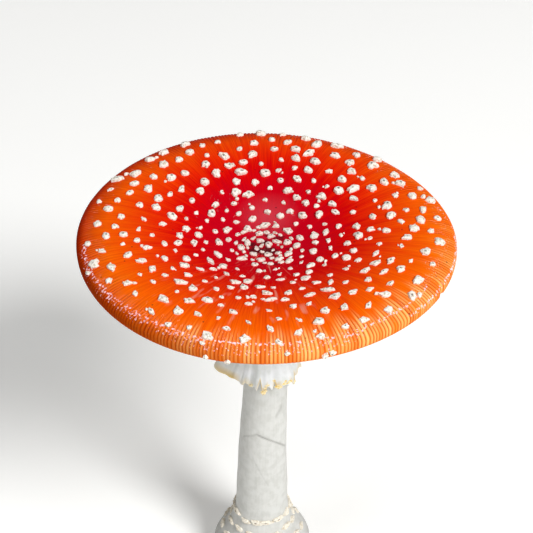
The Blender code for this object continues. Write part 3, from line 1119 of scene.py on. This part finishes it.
    def upper_ring(self, radius: float, count: int) -> tuple:
        """One ring of the skin.

        Args:
            radius: its radius.
            count: how many points it has.

        Returns:
            Its points, and how deep in a furrow, how far up a rib and how much painted glint each of them gets.
        """
        form, turn = self.form, angles(count)
        furrow, rib = self.furrows(radius, turn) if radius > self.smooth_within else np.zeros((2, count))
        sunk = self.groove_depth * furrow
        pull = self.groove_pull * sunk * float(ease(radius, self.pull_start, form.radius))
        out = radius - pull - self.torn(turn) * float(ease(radius, self.nick_start, form.radius))
        points = form.place(out, form.skin(np.full(count, radius)) - sunk, turn)
        points[:, 2] += self.swells(points)
        return points, furrow, rib, self.slime(radius, turn)

    def lip_ring(self, step: int) -> tuple:
        """One ring of the lip that turns under the rim.

        Args:
            step: its number in the lip.

        Returns:
            Its points and their marks, as for a ring of the skin.
        """
        (radius, drop), turn = self.lip[step], angles(self.fine)
        fade = 1 - step / len(self.lip)
        furrow, rib = (mark * fade for mark in self.furrows(self.form.radius, turn))
        out = radius - self.groove_pull * self.groove_depth * furrow - self.torn(turn)
        return self.form.place(out, np.full(self.fine, -drop), turn), furrow, rib, np.zeros(self.fine)

    def under_ring(self, radius: float, count: int) -> tuple:
        """One ring of the underside of the flesh.

        Args:
            radius: its radius.
            count: how many points it has.

        Returns:
            Its points and their marks, as for a ring of the skin. A furrow of -1 marks bare flesh.
        """
        reach = np.full(count, radius)
        points = self.form.place(reach, self.form.flesh(reach), angles(count))
        return points, np.full(count, -1.0), *np.zeros((2, count))

    def slime(self, radius: float, turn: np.ndarray) -> np.ndarray:
        """How strongly painted highlights lie at each angle of a ring, from 0 to 1, along lines near the crest.

        Args:
            radius: the ring's radius.
            turn: its angles.

        Returns:
            One share for each angle.
        """
        degrees = (np.degrees(turn) - 180) % 360 + 180
        most = np.zeros(len(turn))
        for width, strength, line in self.glint_band_lines:
            bearings, reaches = zip(*line)
            first, last = bearings[0], bearings[-1]
            middle = np.interp(degrees, bearings, reaches) * MM
            starts = ease(degrees, first, first + self.glint_band_fade)
            ends = starts * (1 - ease(degrees, last - self.glint_band_fade, last))
            most = np.maximum(most, strength * ends * np.exp(-(((radius - middle) / (width * MM)) ** 2)))
        return most

    def swells(self, points: np.ndarray) -> np.ndarray:
        """Slight rises and hollows of the skin, in metres."""
        return np.array([sum(size * noise.noise(Vector(point) / reach) for size, reach in self.swell)
                         for point in points])

    def gap_at(self, radius: float) -> float:
        """The least distance from a wart at a radius to the next one.

        Args:
            radius: the radius.

        Returns:
            The distance.
        """
        centre, crest, more = self.wart_gap
        spread = min(1.0, radius / self.form.crest_radius) ** self.wart_gap_bend
        beyond = float(ease(radius, self.form.crest_radius, self.wart_field))
        return centre + (crest - centre) * spread + more * beyond

    def wart_spots(self) -> list[tuple]:
        """Where the solids have their warts.

        Returns:
            Radius, angle, width, heading, stretch and gap of each wart.
        """
        draw = random.Random(self.wart_seed)
        spots: list[tuple] = []
        flats: list[Vector] = []
        for _ in range(self.wart_tries):
            radius = self.wart_field * math.sqrt(draw.random())
            angle = 2 * math.pi * draw.random()
            size, lean = draw.uniform(*self.wart_spread), draw.gauss(0, self.wart_lean)
            stretch = draw.uniform(*self.wart_stretch)
            gap, here = self.gap_at(radius), flat_spot(radius, angle)
            if any((here - flat).length < (gap + spot[-1]) / 2 for flat, spot in zip(flats, spots)):
                continue
            middle = self.wart_width[0] + (self.wart_width[1] - self.wart_width[0]) * radius / self.wart_field
            width = min(middle * size, self.wart_largest * gap)
            spots.append((radius, angle, width, angle + math.pi / 2 + lean, stretch, gap))
            flats.append(here)
        return spots

    def warts(self) -> list[Scrap]:
        """The warts where the solids have them, crumbs beside some, and small ones in the centre and on the wall.

        Returns:
            The scraps.
        """
        pick = random.Random(self.shape_seed)
        scraps, flats = [], []
        for radius, angle, width, heading, stretch, _ in self.wart_spots():
            flats.append(flat_spot(radius, angle))
            centre, normal = self.form.frame_at(radius, angle)
            breadth, along = width / math.sqrt(stretch), flat_spot(1, heading)
            front = max(0.0, -math.sin(angle)) * min(1.0, radius / self.ragged_from)
            crowd = self.middle_more * math.exp(-(radius / self.crowded) ** 2)
            scale = self.wart_scale - self.front_less * front + crowd
            rise = width * (self.wart_rise + self.back_taller * max(0.0, math.sin(angle)))
            torn = pick.random() < self.ragged_share[0] + self.ragged_share[1] * front
            style = ScrapStyle.RAGGED if torn else ScrapStyle.ROUND
            size = (breadth * stretch * scale, breadth * scale, rise)
            scraps.append(Scrap(centre, normal, along, size, self.maker.pick(pick, style)))
            if pick.random() < self.crumb_share:
                away, side = width * pick.uniform(*self.crumb_away), pick.uniform(0, 2 * math.pi)
                x = radius * math.cos(angle) + away * math.cos(side)
                y = radius * math.sin(angle) + away * math.sin(side)
                spot, up = self.form.frame_at(math.hypot(x, y), math.atan2(y, x))
                size = scaled(self.crumb_shape, width * pick.uniform(*self.crumb_width))
                scraps.append(Scrap(spot, up, along, size, self.maker.pick(pick, style)))
        for _ in range(self.fillers):
            radius, angle = self.crowded * math.sqrt(pick.random()), pick.uniform(0, 2 * math.pi)
            here = flat_spot(radius, angle)
            if min((here - flat).length for flat in flats) < self.filler_gap:
                continue
            flats.append(here)
            spot, up = self.form.frame_at(radius, angle)
            size = scaled(self.filler_shape, pick.uniform(*self.filler_width) * MM)
            scraps.append(Scrap(spot, up, sideways(angle), size, self.maker.pick(pick, ScrapStyle.ROUND)))
        for degrees, drop in self.rim_scraps:
            angle = math.radians(degrees)
            spot, up = self.form.wall_at(drop * MM, angle)
            size = scaled(self.rim_shape, pick.uniform(*self.rim_width) * MM)
            scraps.append(Scrap(spot, up, sideways(angle), size, self.maker.pick(pick, ScrapStyle.RAGGED)))
        return scraps


class GillLength(Enum):
    """Lengths of gills: where one starts, as a share of the way out, and its places in one sector."""

    FULL = (0.0, (0.0,))
    HALF = (0.42, (0.5,))
    QUARTER = (0.70, (0.25, 0.75))


@dataclass
class Gills:
    """The gills: thin blades of three lengths under the cap, free from the stem."""

    form: CapForm
    sectors: int = 104
    root_width: float = 0.62 * MM
    edge_width: float = 0.34 * MM
    sunk: float = 0.5 * MM
    seed: int = 5
    stray: float = 0.07
    stations: int = 12
    station_bend: float = 0.9
    shallow: tuple = (-1.0, 3.0)
    # Painted shade: the gills darken from their free edges up to their roots, between the blades.
    flesh: FleshFinish = FleshFinish(
        "gill flesh", "#F6EFE0", "#EEE4CE", "#8C7248", 0.9, stain_bend=0.45, mottle=1.6 * MM,
        fibre_gap=1.2 * MM, fibre_length=1.2 * MM, relief=0.05 * MM)

    def build(self) -> None:
        """Make every gill as one piece."""
        finish, tree, joined = self.flesh.build(), self.tree(), bmesh.new()
        for number, length in enumerate(GillLength):
            start, places = length.value
            blade = bpy.data.objects.new(f"blade_{length.name.lower()}", self.blade(start))
            for place in places:
                values = {"Blade": blade, "Count": self.sectors, "Place": place, "Seed": self.seed + number,
                          "Finish": finish}
                joined.from_mesh(grow("fan", bpy.data.meshes.new("fan"), tree, values))
        mesh = bpy.data.meshes.new("gills")
        joined.to_mesh(mesh)
        joined.free()
        flat = np.empty(len(mesh.vertices) * 3)
        mesh.vertices.foreach_get("co", flat)
        x, y, z = flat.reshape(-1, 3).T
        out = np.hypot(x, y)
        edge, root = self.form.gill_edge(out), self.form.flesh(out)
        # Painted shade: the mark grows from a gill's free edge to its root.
        depth = np.clip((z - edge) / (root - edge), 0, 1)
        mesh.attributes.new("stain", "FLOAT", "POINT").data.foreach_set("value", depth)
        mesh.vertices.foreach_set("co", self.form.place(out, z, np.arctan2(y, x)).ravel())
        mesh.update()
        mesh.materials.clear()
        outwards(mesh)
        piece("gill_blades", mesh, finish, "gill_flesh", "gills")

    def blade(self, start: float) -> bpy.types.Mesh:
        """One blade along +X from its start to the margin, as a closed mesh with a thin free edge.

        Args:
            start: where it starts, as a share of the way out. One that starts further out is shallow there.

        Returns:
            Its mesh.
        """
        form = self.form
        first = form.gill_inner + (form.gill_outer - form.gill_inner) * start
        radii = first + (form.gill_outer - first) * np.linspace(0, 1, self.stations) ** self.station_bend
        root, full = form.flesh(radii) + self.sunk, form.gill_edge(radii)
        depth = ease(np.arange(self.stations), *self.shallow) if start else np.ones(self.stations)
        edge = root - self.sunk + (full - root + self.sunk) * depth
        columns = []
        for width, height in ((self.root_width, root), (-self.root_width, root),
                              (-self.edge_width, edge), (self.edge_width, edge)):
            columns.append(np.stack([radii, np.full(self.stations, width / 2), height], axis=-1))
        corners = np.stack(columns, axis=1)
        faces = [tuple(station * 4 + k for k in (side, (side + 1) % 4, (side + 1) % 4 + 4, side + 4))
                 for station in range(self.stations - 1) for side in range(4)]
        last = (self.stations - 1) * 4
        faces += [(3, 2, 1, 0), (last, last + 1, last + 2, last + 3)]
        mesh = bpy.data.meshes.new("blade")
        mesh.from_pydata(corners.reshape(-1, 3).tolist(), [], faces)
        return mesh

    def tree(self) -> bpy.types.NodeTree:
        """The node tree: blades fanned round the axis, each turned a little off its place.

        Returns:
            The tree.
        """
        tree, given = new_tree("fan of blades", Blade="Object", Count="Int", Place="Float", Seed="Int",
                               Finish="Material")
        points = add_node(tree, "GeometryNodePoints", given["Count"])
        stray = add_node(tree, "FunctionNodeRandomValue", data_type="FLOAT", Min=-self.stray, Max=self.stray,
                         Seed=given["Seed"])
        place = add_node(tree, "ShaderNodeMath", add_node(tree, "GeometryNodeInputIndex"), given["Place"])
        moved = add_node(tree, "ShaderNodeMath", place, stray)
        share = add_node(tree, "ShaderNodeMath", moved, given["Count"], operation="DIVIDE")
        angle = add_node(tree, "ShaderNodeMath", share, 2 * math.pi, operation="MULTIPLY")
        turn = add_node(tree, "ShaderNodeCombineXYZ", Z=angle)
        blade = add_node(tree, "GeometryNodeObjectInfo", Object=given["Blade"]).outputs["Geometry"]
        fan = add_node(tree, "GeometryNodeInstanceOnPoints", Points=points, Instance=blade, Rotation=turn)
        return close_tree(tree, add_node(tree, "GeometryNodeRealizeInstances", fan), given["Finish"])


@dataclass
class Stem:
    """The stem with its bulb, cut flat across the foot, and the rings of scales on the bulb."""

    form: CapForm
    maker: ScrapMaker
    gap: float = 0.3 * MM
    top_radius: float = 0.0075
    foot_radius: float = 0.0129
    flare: float = 0.0026
    flare_length: float = 0.009
    oval: float = 0.012
    oval_twist: float = 30
    bump: float = 0.008
    bump_twist: float = -45
    bulb_swell: float = 0.0098
    bulb_height: float = 0.010
    bulb_length: float = 0.0125
    bend: tuple = (0.045, 0.139)
    sides: int = 200
    rows: int = 260
    fibrils: tuple = ((0.03 * MM, 70, 0.030), (0.15 * MM, 9, 0.012))
    sunk: float = 0.1 * MM
    soil_heights: tuple = (0.002, 0.020)
    soil_patches: tuple = (12, 0.006)
    crease_fade: float = 0.15
    # Each crease: where it starts and ends, its bend, depth, half width, and how much painted shade darkens it.
    creases: tuple = (
        ((-118, 0.0858), (-10, 0.0712), 1.6, 0.40 * MM, 0.45 * MM, 1.0),
        ((-154, 0.0788), (-104, 0.0856), 0.6, 0.15 * MM, 0.50 * MM, 0.45),
        ((-62, 0.0945), (-38, 0.1000), 1.0, 0.15 * MM, 1.80 * MM, 0.40),
        ((-121, 0.0740), (-72, 0.0540), 1.0, 0.15 * MM, 0.50 * MM, 0.30),
        ((40, 0.0600), (110, 0.0660), 1.2, 0.30 * MM, 0.60 * MM, 0.6),
    )
    scale_seed: int = 7
    scale_rings: tuple = (0.0195, 0.0260, 0.0325)
    scales_per_ring: int = 14
    scale_stray: float = 0.0009
    scale_turns: tuple = (-0.07, 0.07)
    scale_slope: float = 0.35
    scale_size: tuple = ((4.4, 6.4), (2.4, 3.4), (0.9, 1.4))
    scale_crumble: float = 0.4 * MM
    flesh: FleshFinish = FleshFinish("stem flesh", "#D2D2CE", "#C8C8C3", "#66625C", 0.6, mottle=3.5 * MM,
                                     fibre_gap=0.9 * MM, fibre_length=3 * MM, relief=0.05 * MM)
    chalk: ScrapFinish = ScrapFinish("dried veil on the bulb", "#F0EADC", "#D8CCB6", "#6A5540", 0.7)

    @property
    def top(self) -> float:
        """Height of the top of the stem."""
        return self.form.crest_height - self.form.flesh_centre - self.gap

    def radius(self, height: Any) -> Any:
        """Radius: a straight taper, with a flare under the cap and a bulb at the foot.

        Args:
            height: height over the foot.

        Returns:
            The radius there.
        """
        taper = self.foot_radius + (self.top_radius - self.foot_radius) * height / self.top
        flare = self.flare * np.exp(-(self.top - height) / self.flare_length)
        bulb = self.bulb_swell * np.exp(-(((height - self.bulb_height) / self.bulb_length) ** 2))
        return taper + flare + bulb

    def axis(self, height: Any) -> Any:
        """How far the stem's centre is along +X at a height."""
        return self.form.centre_x * ease(height, *self.bend)

    def surface(self, height: float, angle: Any, out: Any = 0.0) -> np.ndarray:
        """Points of the surface.

        Args:
            height: height over the foot.
            angle: angles round the axis.
            out: how far the points are moved out.

        Returns:
            An array of points.
        """
        oval = self.oval * np.sin(2 * angle + self.oval_twist * height)
        uneven = oval + self.bump * np.sin(3 * angle + self.bump_twist * height)
        reach = self.radius(height) * (1 + uneven) + out
        columns = (self.axis(height) + reach * np.cos(angle), reach * np.sin(angle), height)
        return np.stack(np.broadcast_arrays(*columns), axis=-1)

    def build(self) -> None:
        """Make the stem and the scales of its bulb."""
        piece("stem_flesh", self.column(), self.flesh.build(), "stem_flesh", "stem")
        chalk = self.chalk.build()
        scales = self.maker.lay("bulb_scales", self.scales(), chalk, self.scale_crumble)
        piece("bulb_scales", scales, chalk, "stem_flesh")

    def column(self) -> bpy.types.Mesh:
        """Stem and bulb as one closed mesh, with fibrils, creases, and marks for its soil stains and for painted shade
        in the creases.

        Returns:
            The mesh.
        """
        turn = angles(self.sides)
        rings, stains = [], []
        for height in np.linspace(0.0, self.top, self.rows):
            uneven = sum(most * ripple(turn, cells, height / length) for most, cells, length in self.fibrils)
            out = uneven - self.sunk
            marks = np.zeros(self.sides)
            # Painted shade: each crease is darkened along its line by its last share.
            for start, end, bend, depth, width, dark in self.creases:
                mark = self.crease(height, turn, start, end, bend, width)
                out = out - depth * mark
                marks = np.maximum(marks, dark * mark)
            rings.append(self.surface(height, turn, out))
            cells, length = self.soil_patches
            patches = np.clip(0.5 + ripple(turn, cells, height / length), 0, 1)
            soil = (1 - ease(height, *self.soil_heights)) * patches
            stains.append(np.maximum(soil, marks))
        poles = ((0, 0, 0), (self.axis(self.top), 0, self.top))
        return mesh_of_rings("stem_flesh", rings, poles, stain=stains)

    def crease(self, height: float, turn: np.ndarray, start: tuple, end: tuple, bend: float,
               width: float) -> np.ndarray:
        """A wrinkle that runs round the stem from one spot to another.

        Args:
            height: height of the row.
            turn: the row's angles.
            start: angle in degrees and height where it starts.
            end: angle in degrees and height where it ends.
            bend: 1 for a straight one, more for one that steepens.
            width: its half width.

        Returns:
            Its depth at each angle, from 0 to 1.
        """
        signed = ((turn + math.pi) % (2 * math.pi)) - math.pi
        share = (signed - math.radians(start[0])) / math.radians(end[0] - start[0])
        level = start[1] + (end[1] - start[1]) * np.clip(share, 0, 1) ** bend
        ends = ease(share, 0.0, self.crease_fade) * (1 - ease(share, 1 - self.crease_fade, 1.0))
        return ends * np.exp(-(((height - level) / width) ** 2))

    def scales(self) -> list[Scrap]:
        """The scales of the bulb where the solids have them.

        Returns:
            The scales.
        """
        draw = random.Random(self.scale_seed)
        scraps = []
        for row, height in enumerate(self.scale_rings):
            for angle in angles(self.scales_per_ring):
                spot = float(angle) + math.pi * row / self.scales_per_ring + draw.uniform(*self.scale_turns)
                centre = Vector(self.surface(height + draw.uniform(-self.scale_stray, self.scale_stray), spot))
                size = tuple(draw.uniform(*limits) * MM for limits in self.scale_size)
                kind = self.maker.pick(draw, ScrapStyle.RAGGED)
                scraps.append(Scrap(centre, outward(spot, self.scale_slope), sideways(spot), size, kind))
        return scraps


@dataclass
class Ring:
    """The ring: a thin plaited skirt of veil round the stem, torn at its hem, with one lobe off the stem."""

    stem: Stem
    maker: ScrapMaker
    top: float = 0.1420
    thickness: float = 1.0 * MM
    sink: float = 0.2 * MM
    hem_radius: float = 0.0139
    hem_height: float = 0.1154
    lobe: tuple = (math.radians(178), math.radians(18), 0.0084)
    lobe_reach: float = 0.7
    lobe_calm: float = 0.85
    back_swell: float = 0.0018
    folds: tuple = (7, 0.0006, 0.8)
    tooth: float = 0.0010
    teeth: tuple = ((1.0, 17, 2.0), (0.5, 5, 1.0))
    flare: float = 1.35
    sides: int = 540
    plait: float = 0.30 * MM
    plaits: tuple = ((1.0, 13, 7, 2.0), (0.35, 31, 12, 6.0))
    plait_sway: float = 3
    slope_step: float = 0.02
    shed_cells: tuple = ((0.03, 40, 1.0), (0.012, 160, 4.0))
    shed_least: float = 0.01
    rows_out: tuple = (0.0, 0.97, 22)
    rows_hem: tuple = ((1.0, 0.55), (1.012, 0.0), (1.0, -0.55))
    rows_in: tuple = (0.97, 0.0, 12)
    tufts: int = 40
    tuft_stray: float = 0.012
    tuft_shares: tuple = (0.95, 1.0)
    tuft_side: float = 0.6
    tuft_lean: float = -0.3
    tuft_slopes: tuple = (-0.3, 0.3)
    tuft_width: tuple = (0.7, 1.2)
    tuft_shape: tuple = (2.0, 1.0, 0.35)
    tuft_crumble: float = 0.15 * MM
    tuft_seed: int = 23
    tuft_patches: tuple = (0.67, 0.74, 0.81, 0.84, 0.90, 0.95, 0.12, 0.27, 0.36)
    notches: tuple = ((-101, 5.0, 0.20), (-74, 4.0, 0.11), (-52, 2.5, 0.06), (60, 4.0, 0.10), (130, 3.0, 0.08))
    veil: FleshFinish = FleshFinish("veil of the ring", "#F6F8FA", "#E6E9E8", "#DDB850", 0.8, mottle=6 * MM,
                                    fibre_gap=1.4 * MM, fibre_length=9 * MM, relief=0.05 * MM)
    chalk: ScrapFinish = ScrapFinish("tufts of the hem", "#FFF0C4", "#F2CC70", "#7A5A2C", 0.7)

    def hem(self, angle: Any) -> tuple[Any, Any]:
        """The hem's line.

        Args:
            angle: angles round the axis.

        Returns:
            Radius and height of the hem at each angle.
        """
        middle, width, reach = self.lobe
        lobe = reach * np.exp(-((off_angle(angle, middle) / width) ** 2))
        count, depth, phase = self.folds
        folds = depth * np.sin(count * angle + phase)
        radius = self.hem_radius + lobe + self.back_swell * np.clip(np.sin(angle), 0, None) + folds
        teeth = sum(size * np.sin(count * angle + phase) for size, count, phase in self.teeth)
        return radius, self.hem_height + self.tooth * (1 - self.lobe_calm * self.near_lobe(angle)) * teeth

    def near_lobe(self, angle: Any) -> Any:
        """How near an angle is to the lobe, from 0 to 1."""
        return np.exp(-((off_angle(angle, self.lobe[0]) / self.lobe_reach) ** 2))

    def profile(self, angle: Any, share: float) -> tuple[Any, Any]:
        """Middle of the skirt's thickness.

        Args:
            angle: angles round the axis.
            share: how far down the skirt, from its top, at 0, to its hem, at 1.

        Returns:
            Radius and height.
        """
        start = self.stem.radius(self.top) * (1 - self.stem.oval) - self.sink
        radius, height = self.hem(angle)
        return start + (radius - start) * share ** self.flare, self.top + (height - self.top) * share

    def row(self, turn: np.ndarray, share: float, side: float, shed: np.ndarray) -> np.ndarray:
        """A ring of points on one face of the skirt.

        Args:
            turn: the angles.
            share: how far down the skirt.
            side: 1 for the outer face, -1 for the inner one and 0 for the hem's edge.
            shed: how much of the hem is torn away at each angle, as a share of the skirt.

        Returns:
            The points.
        """
        down = share * (1 - shed * float(ease(share, 0.6, 1.0)))
        radius, height = self.profile(turn, down)
        before = self.profile(turn, np.maximum(down - self.slope_step, 0))
        after = self.profile(turn, down + self.slope_step)
        slope_r, slope_z = after[0] - before[0], after[1] - before[1]
        length = np.hypot(slope_r, slope_z)
        soft = sum(size * np.sin(count * turn + self.plait_sway * ripple(turn, cells, layer))
                   for size, count, cells, layer in self.plaits)
        plait = self.plait * float(ease(share, 0.2, 1.0)) * soft
        belly = 0.22 * math.sin(math.pi * min(share, 1.0))
        thin = self.thickness * (0.08 + 0.42 * float(ease(share, 0.0, 0.25)) - belly)
        out = side * thin + plait
        centre = float(self.stem.axis(self.top))
        x = (radius - slope_z / length * out) * np.cos(turn) + centre
        y = (radius - slope_z / length * out) * np.sin(turn)
        return np.stack([x, y, height + slope_r / length * out], axis=-1)

    def build(self) -> None:
        """Make the skirt and the tufts of its hem."""
        turn = angles(self.sides)
        lobe = self.near_lobe(turn)
        torn = sum(most * ripple(turn, cells, layer) for most, cells, layer in self.shed_cells)
        shed = (1 - self.lobe_calm * lobe) * torn + self.shed_least
        for middle, width, depth in self.notches:
            shed = shed + depth * np.clip(1 - off_angle(turn, math.radians(middle)) / math.radians(width), 0, 1)
        rows = [(share, 1.0) for share in np.linspace(*self.rows_out)] + list(self.rows_hem)
        rows += [(share, -1.0) for share in np.linspace(*self.rows_in)]
        rings = [self.row(turn, float(share), side, shed) for share, side in rows]
        patches = 0.5 + 0.35 * lobe + 0.8 * ripple(turn, 26, 8.0)
        stains = [np.clip(0.12 * lobe * share + ease(share, 0.86, 0.98) * patches, 0, 1) for share, _ in rows]
        mesh = mesh_of_rings("ring_veil", rings, (), loop=True, stain=stains)
        piece("ring_veil", mesh, self.veil.build(), "ring_veil", "ring")
        chalk = self.chalk.build()
        tufts = self.maker.lay("hem_tufts", self.hem_tufts(shed), chalk, self.tuft_crumble)
        piece("hem_tufts", tufts, chalk, "ring_veil")

    def hem_tufts(self, shed: np.ndarray) -> list[Scrap]:
        """Small rolled scraps along the hem, at seeded places.

        Args:
            shed: how much of the hem is torn away at each angle, as a share of the skirt.

        Returns:
            The scraps.
        """
        draw = random.Random(self.tuft_seed)
        scraps = []
        for _ in range(self.tufts):
            patch = draw.choice(self.tuft_patches) + draw.gauss(0, self.tuft_stray)
            place = int(self.sides * patch) % self.sides
            turn = angles(self.sides)[place:place + 1]
            share = draw.uniform(*self.tuft_shares)
            spot = Vector(self.row(turn, share, self.tuft_side, shed[place:place + 1])[0])
            along = sideways(turn[0], draw.uniform(*self.tuft_slopes))
            size = scaled(self.tuft_shape, draw.uniform(*self.tuft_width) * MM)
            kind = self.maker.pick(draw, ScrapStyle.ROUND)
            scraps.append(Scrap(spot, outward(turn[0], self.tuft_lean), along, size, kind))
        return scraps


@dataclass(frozen=True)
class PhotoView:
    """The camera, set as the photograph was taken: looking down on the dish from the front."""

    form: CapForm
    elevation: float = math.radians(36)
    distance: float = 0.600
    frame_pixels: float = 533
    focal_pixels: float = 1508
    crest_pixel: tuple = (266.0, 227.6)

    def build(self) -> None:
        """Make the camera and look through it."""
        data = bpy.data.cameras.new("photo view")
        data.sensor_width = 36
        data.lens = data.sensor_width * self.focal_pixels / self.frame_pixels
        camera = in_scene("photo view", data)
        crest = Vector((self.form.centre_x, 0, self.form.crest_height))
        back = Vector((0, -math.cos(self.elevation), math.sin(self.elevation)))
        camera.location = crest + back * self.distance
        middle = self.frame_pixels / 2
        down = math.atan((middle - self.crest_pixel[1]) / self.focal_pixels)
        aside = math.atan((self.crest_pixel[0] - middle) / self.focal_pixels)
        camera.rotation_euler = (math.pi / 2 - self.elevation - down, 0, aside)
        bpy.context.scene.camera = camera


@dataclass
class Studio:
    """Plain pale floor and soft light."""

    floor_size: float = 40.0
    floor_colour: str = "#F4F4F2"
    sky: float = 0.13
    lamps: tuple = (
        ("right key", (-48, 44, 2.5), (0.90, 0.90), 62.0, True),
        ("overhead box", (-90, 80, 2.5), (1.25, 1.25), 9.0, True),
        ("left fill", (-150, 40, 2.5), (1.25, 1.25), 9.0, True),
        ("left window", (138, 53, 1.0), (0.14, 0.95), 4.0, False),
        ("right window", (48, 55, 1.0), (0.12, 0.54), 2.0, False),
        ("low window", (65, 6, 1.0), (0.10, 0.14), 0.5, False),
    )
    glow: float = 0.24
    aim: tuple = (0.0, 0.0, 0.16)

    def build(self) -> None:
        """Make the floor, the lamps and the even light from all round."""
        size = self.floor_size / 2
        mesh = bpy.data.meshes.new("floor")
        corners = [(-size, -size, 0), (size, -size, 0), (size, size, 0), (-size, size, 0)]
        mesh.from_pydata(corners, [], [(0, 1, 2, 3)])
        pale = linear(self.floor_colour)
        made, _, _ = new_material("backlit white acrylic", Base_Color=pale, Roughness=0.9, Emission_Color=pale,
                                  Emission_Strength=self.glow)
        mesh.materials.append(made)
        in_scene("floor", mesh)
        for name, (azimuth, elevation, distance), (width, height), power, lights_matt in self.lamps:
            data = bpy.data.lights.new(name, "AREA")
            data.shape, data.size, data.size_y, data.energy = "ELLIPSE", width, height, power
            lamp = in_scene(name, data)
            lamp.visible_diffuse = lights_matt
            turn, lift = math.radians(azimuth), math.radians(elevation)
            way = Vector((math.cos(turn) * math.cos(lift), math.sin(turn) * math.cos(lift), math.sin(lift)))
            lamp.location = Vector(self.aim) + way * distance
            lamp.rotation_euler = way.to_track_quat("Z", "Y").to_euler()
        world = bpy.data.worlds.new("even light")
        world.use_nodes = True
        feed(world.node_tree.nodes["Background"], Color=(1, 1, 1, 1), Strength=self.sky)
        bpy.context.scene.world = world
        bpy.context.scene.view_settings.view_transform = "Standard"


def main() -> None:
    """Build every piece, the camera and the light, and note the sizes."""
    form = CapForm()
    maker = ScrapMaker()
    stem = Stem(form, maker)
    Cap(form, maker).build()
    Gills(form).build()
    stem.build()
    Ring(stem, maker).build()
    PhotoView(form).build()
    Studio().build()


if __name__ == "__main__":
    main()
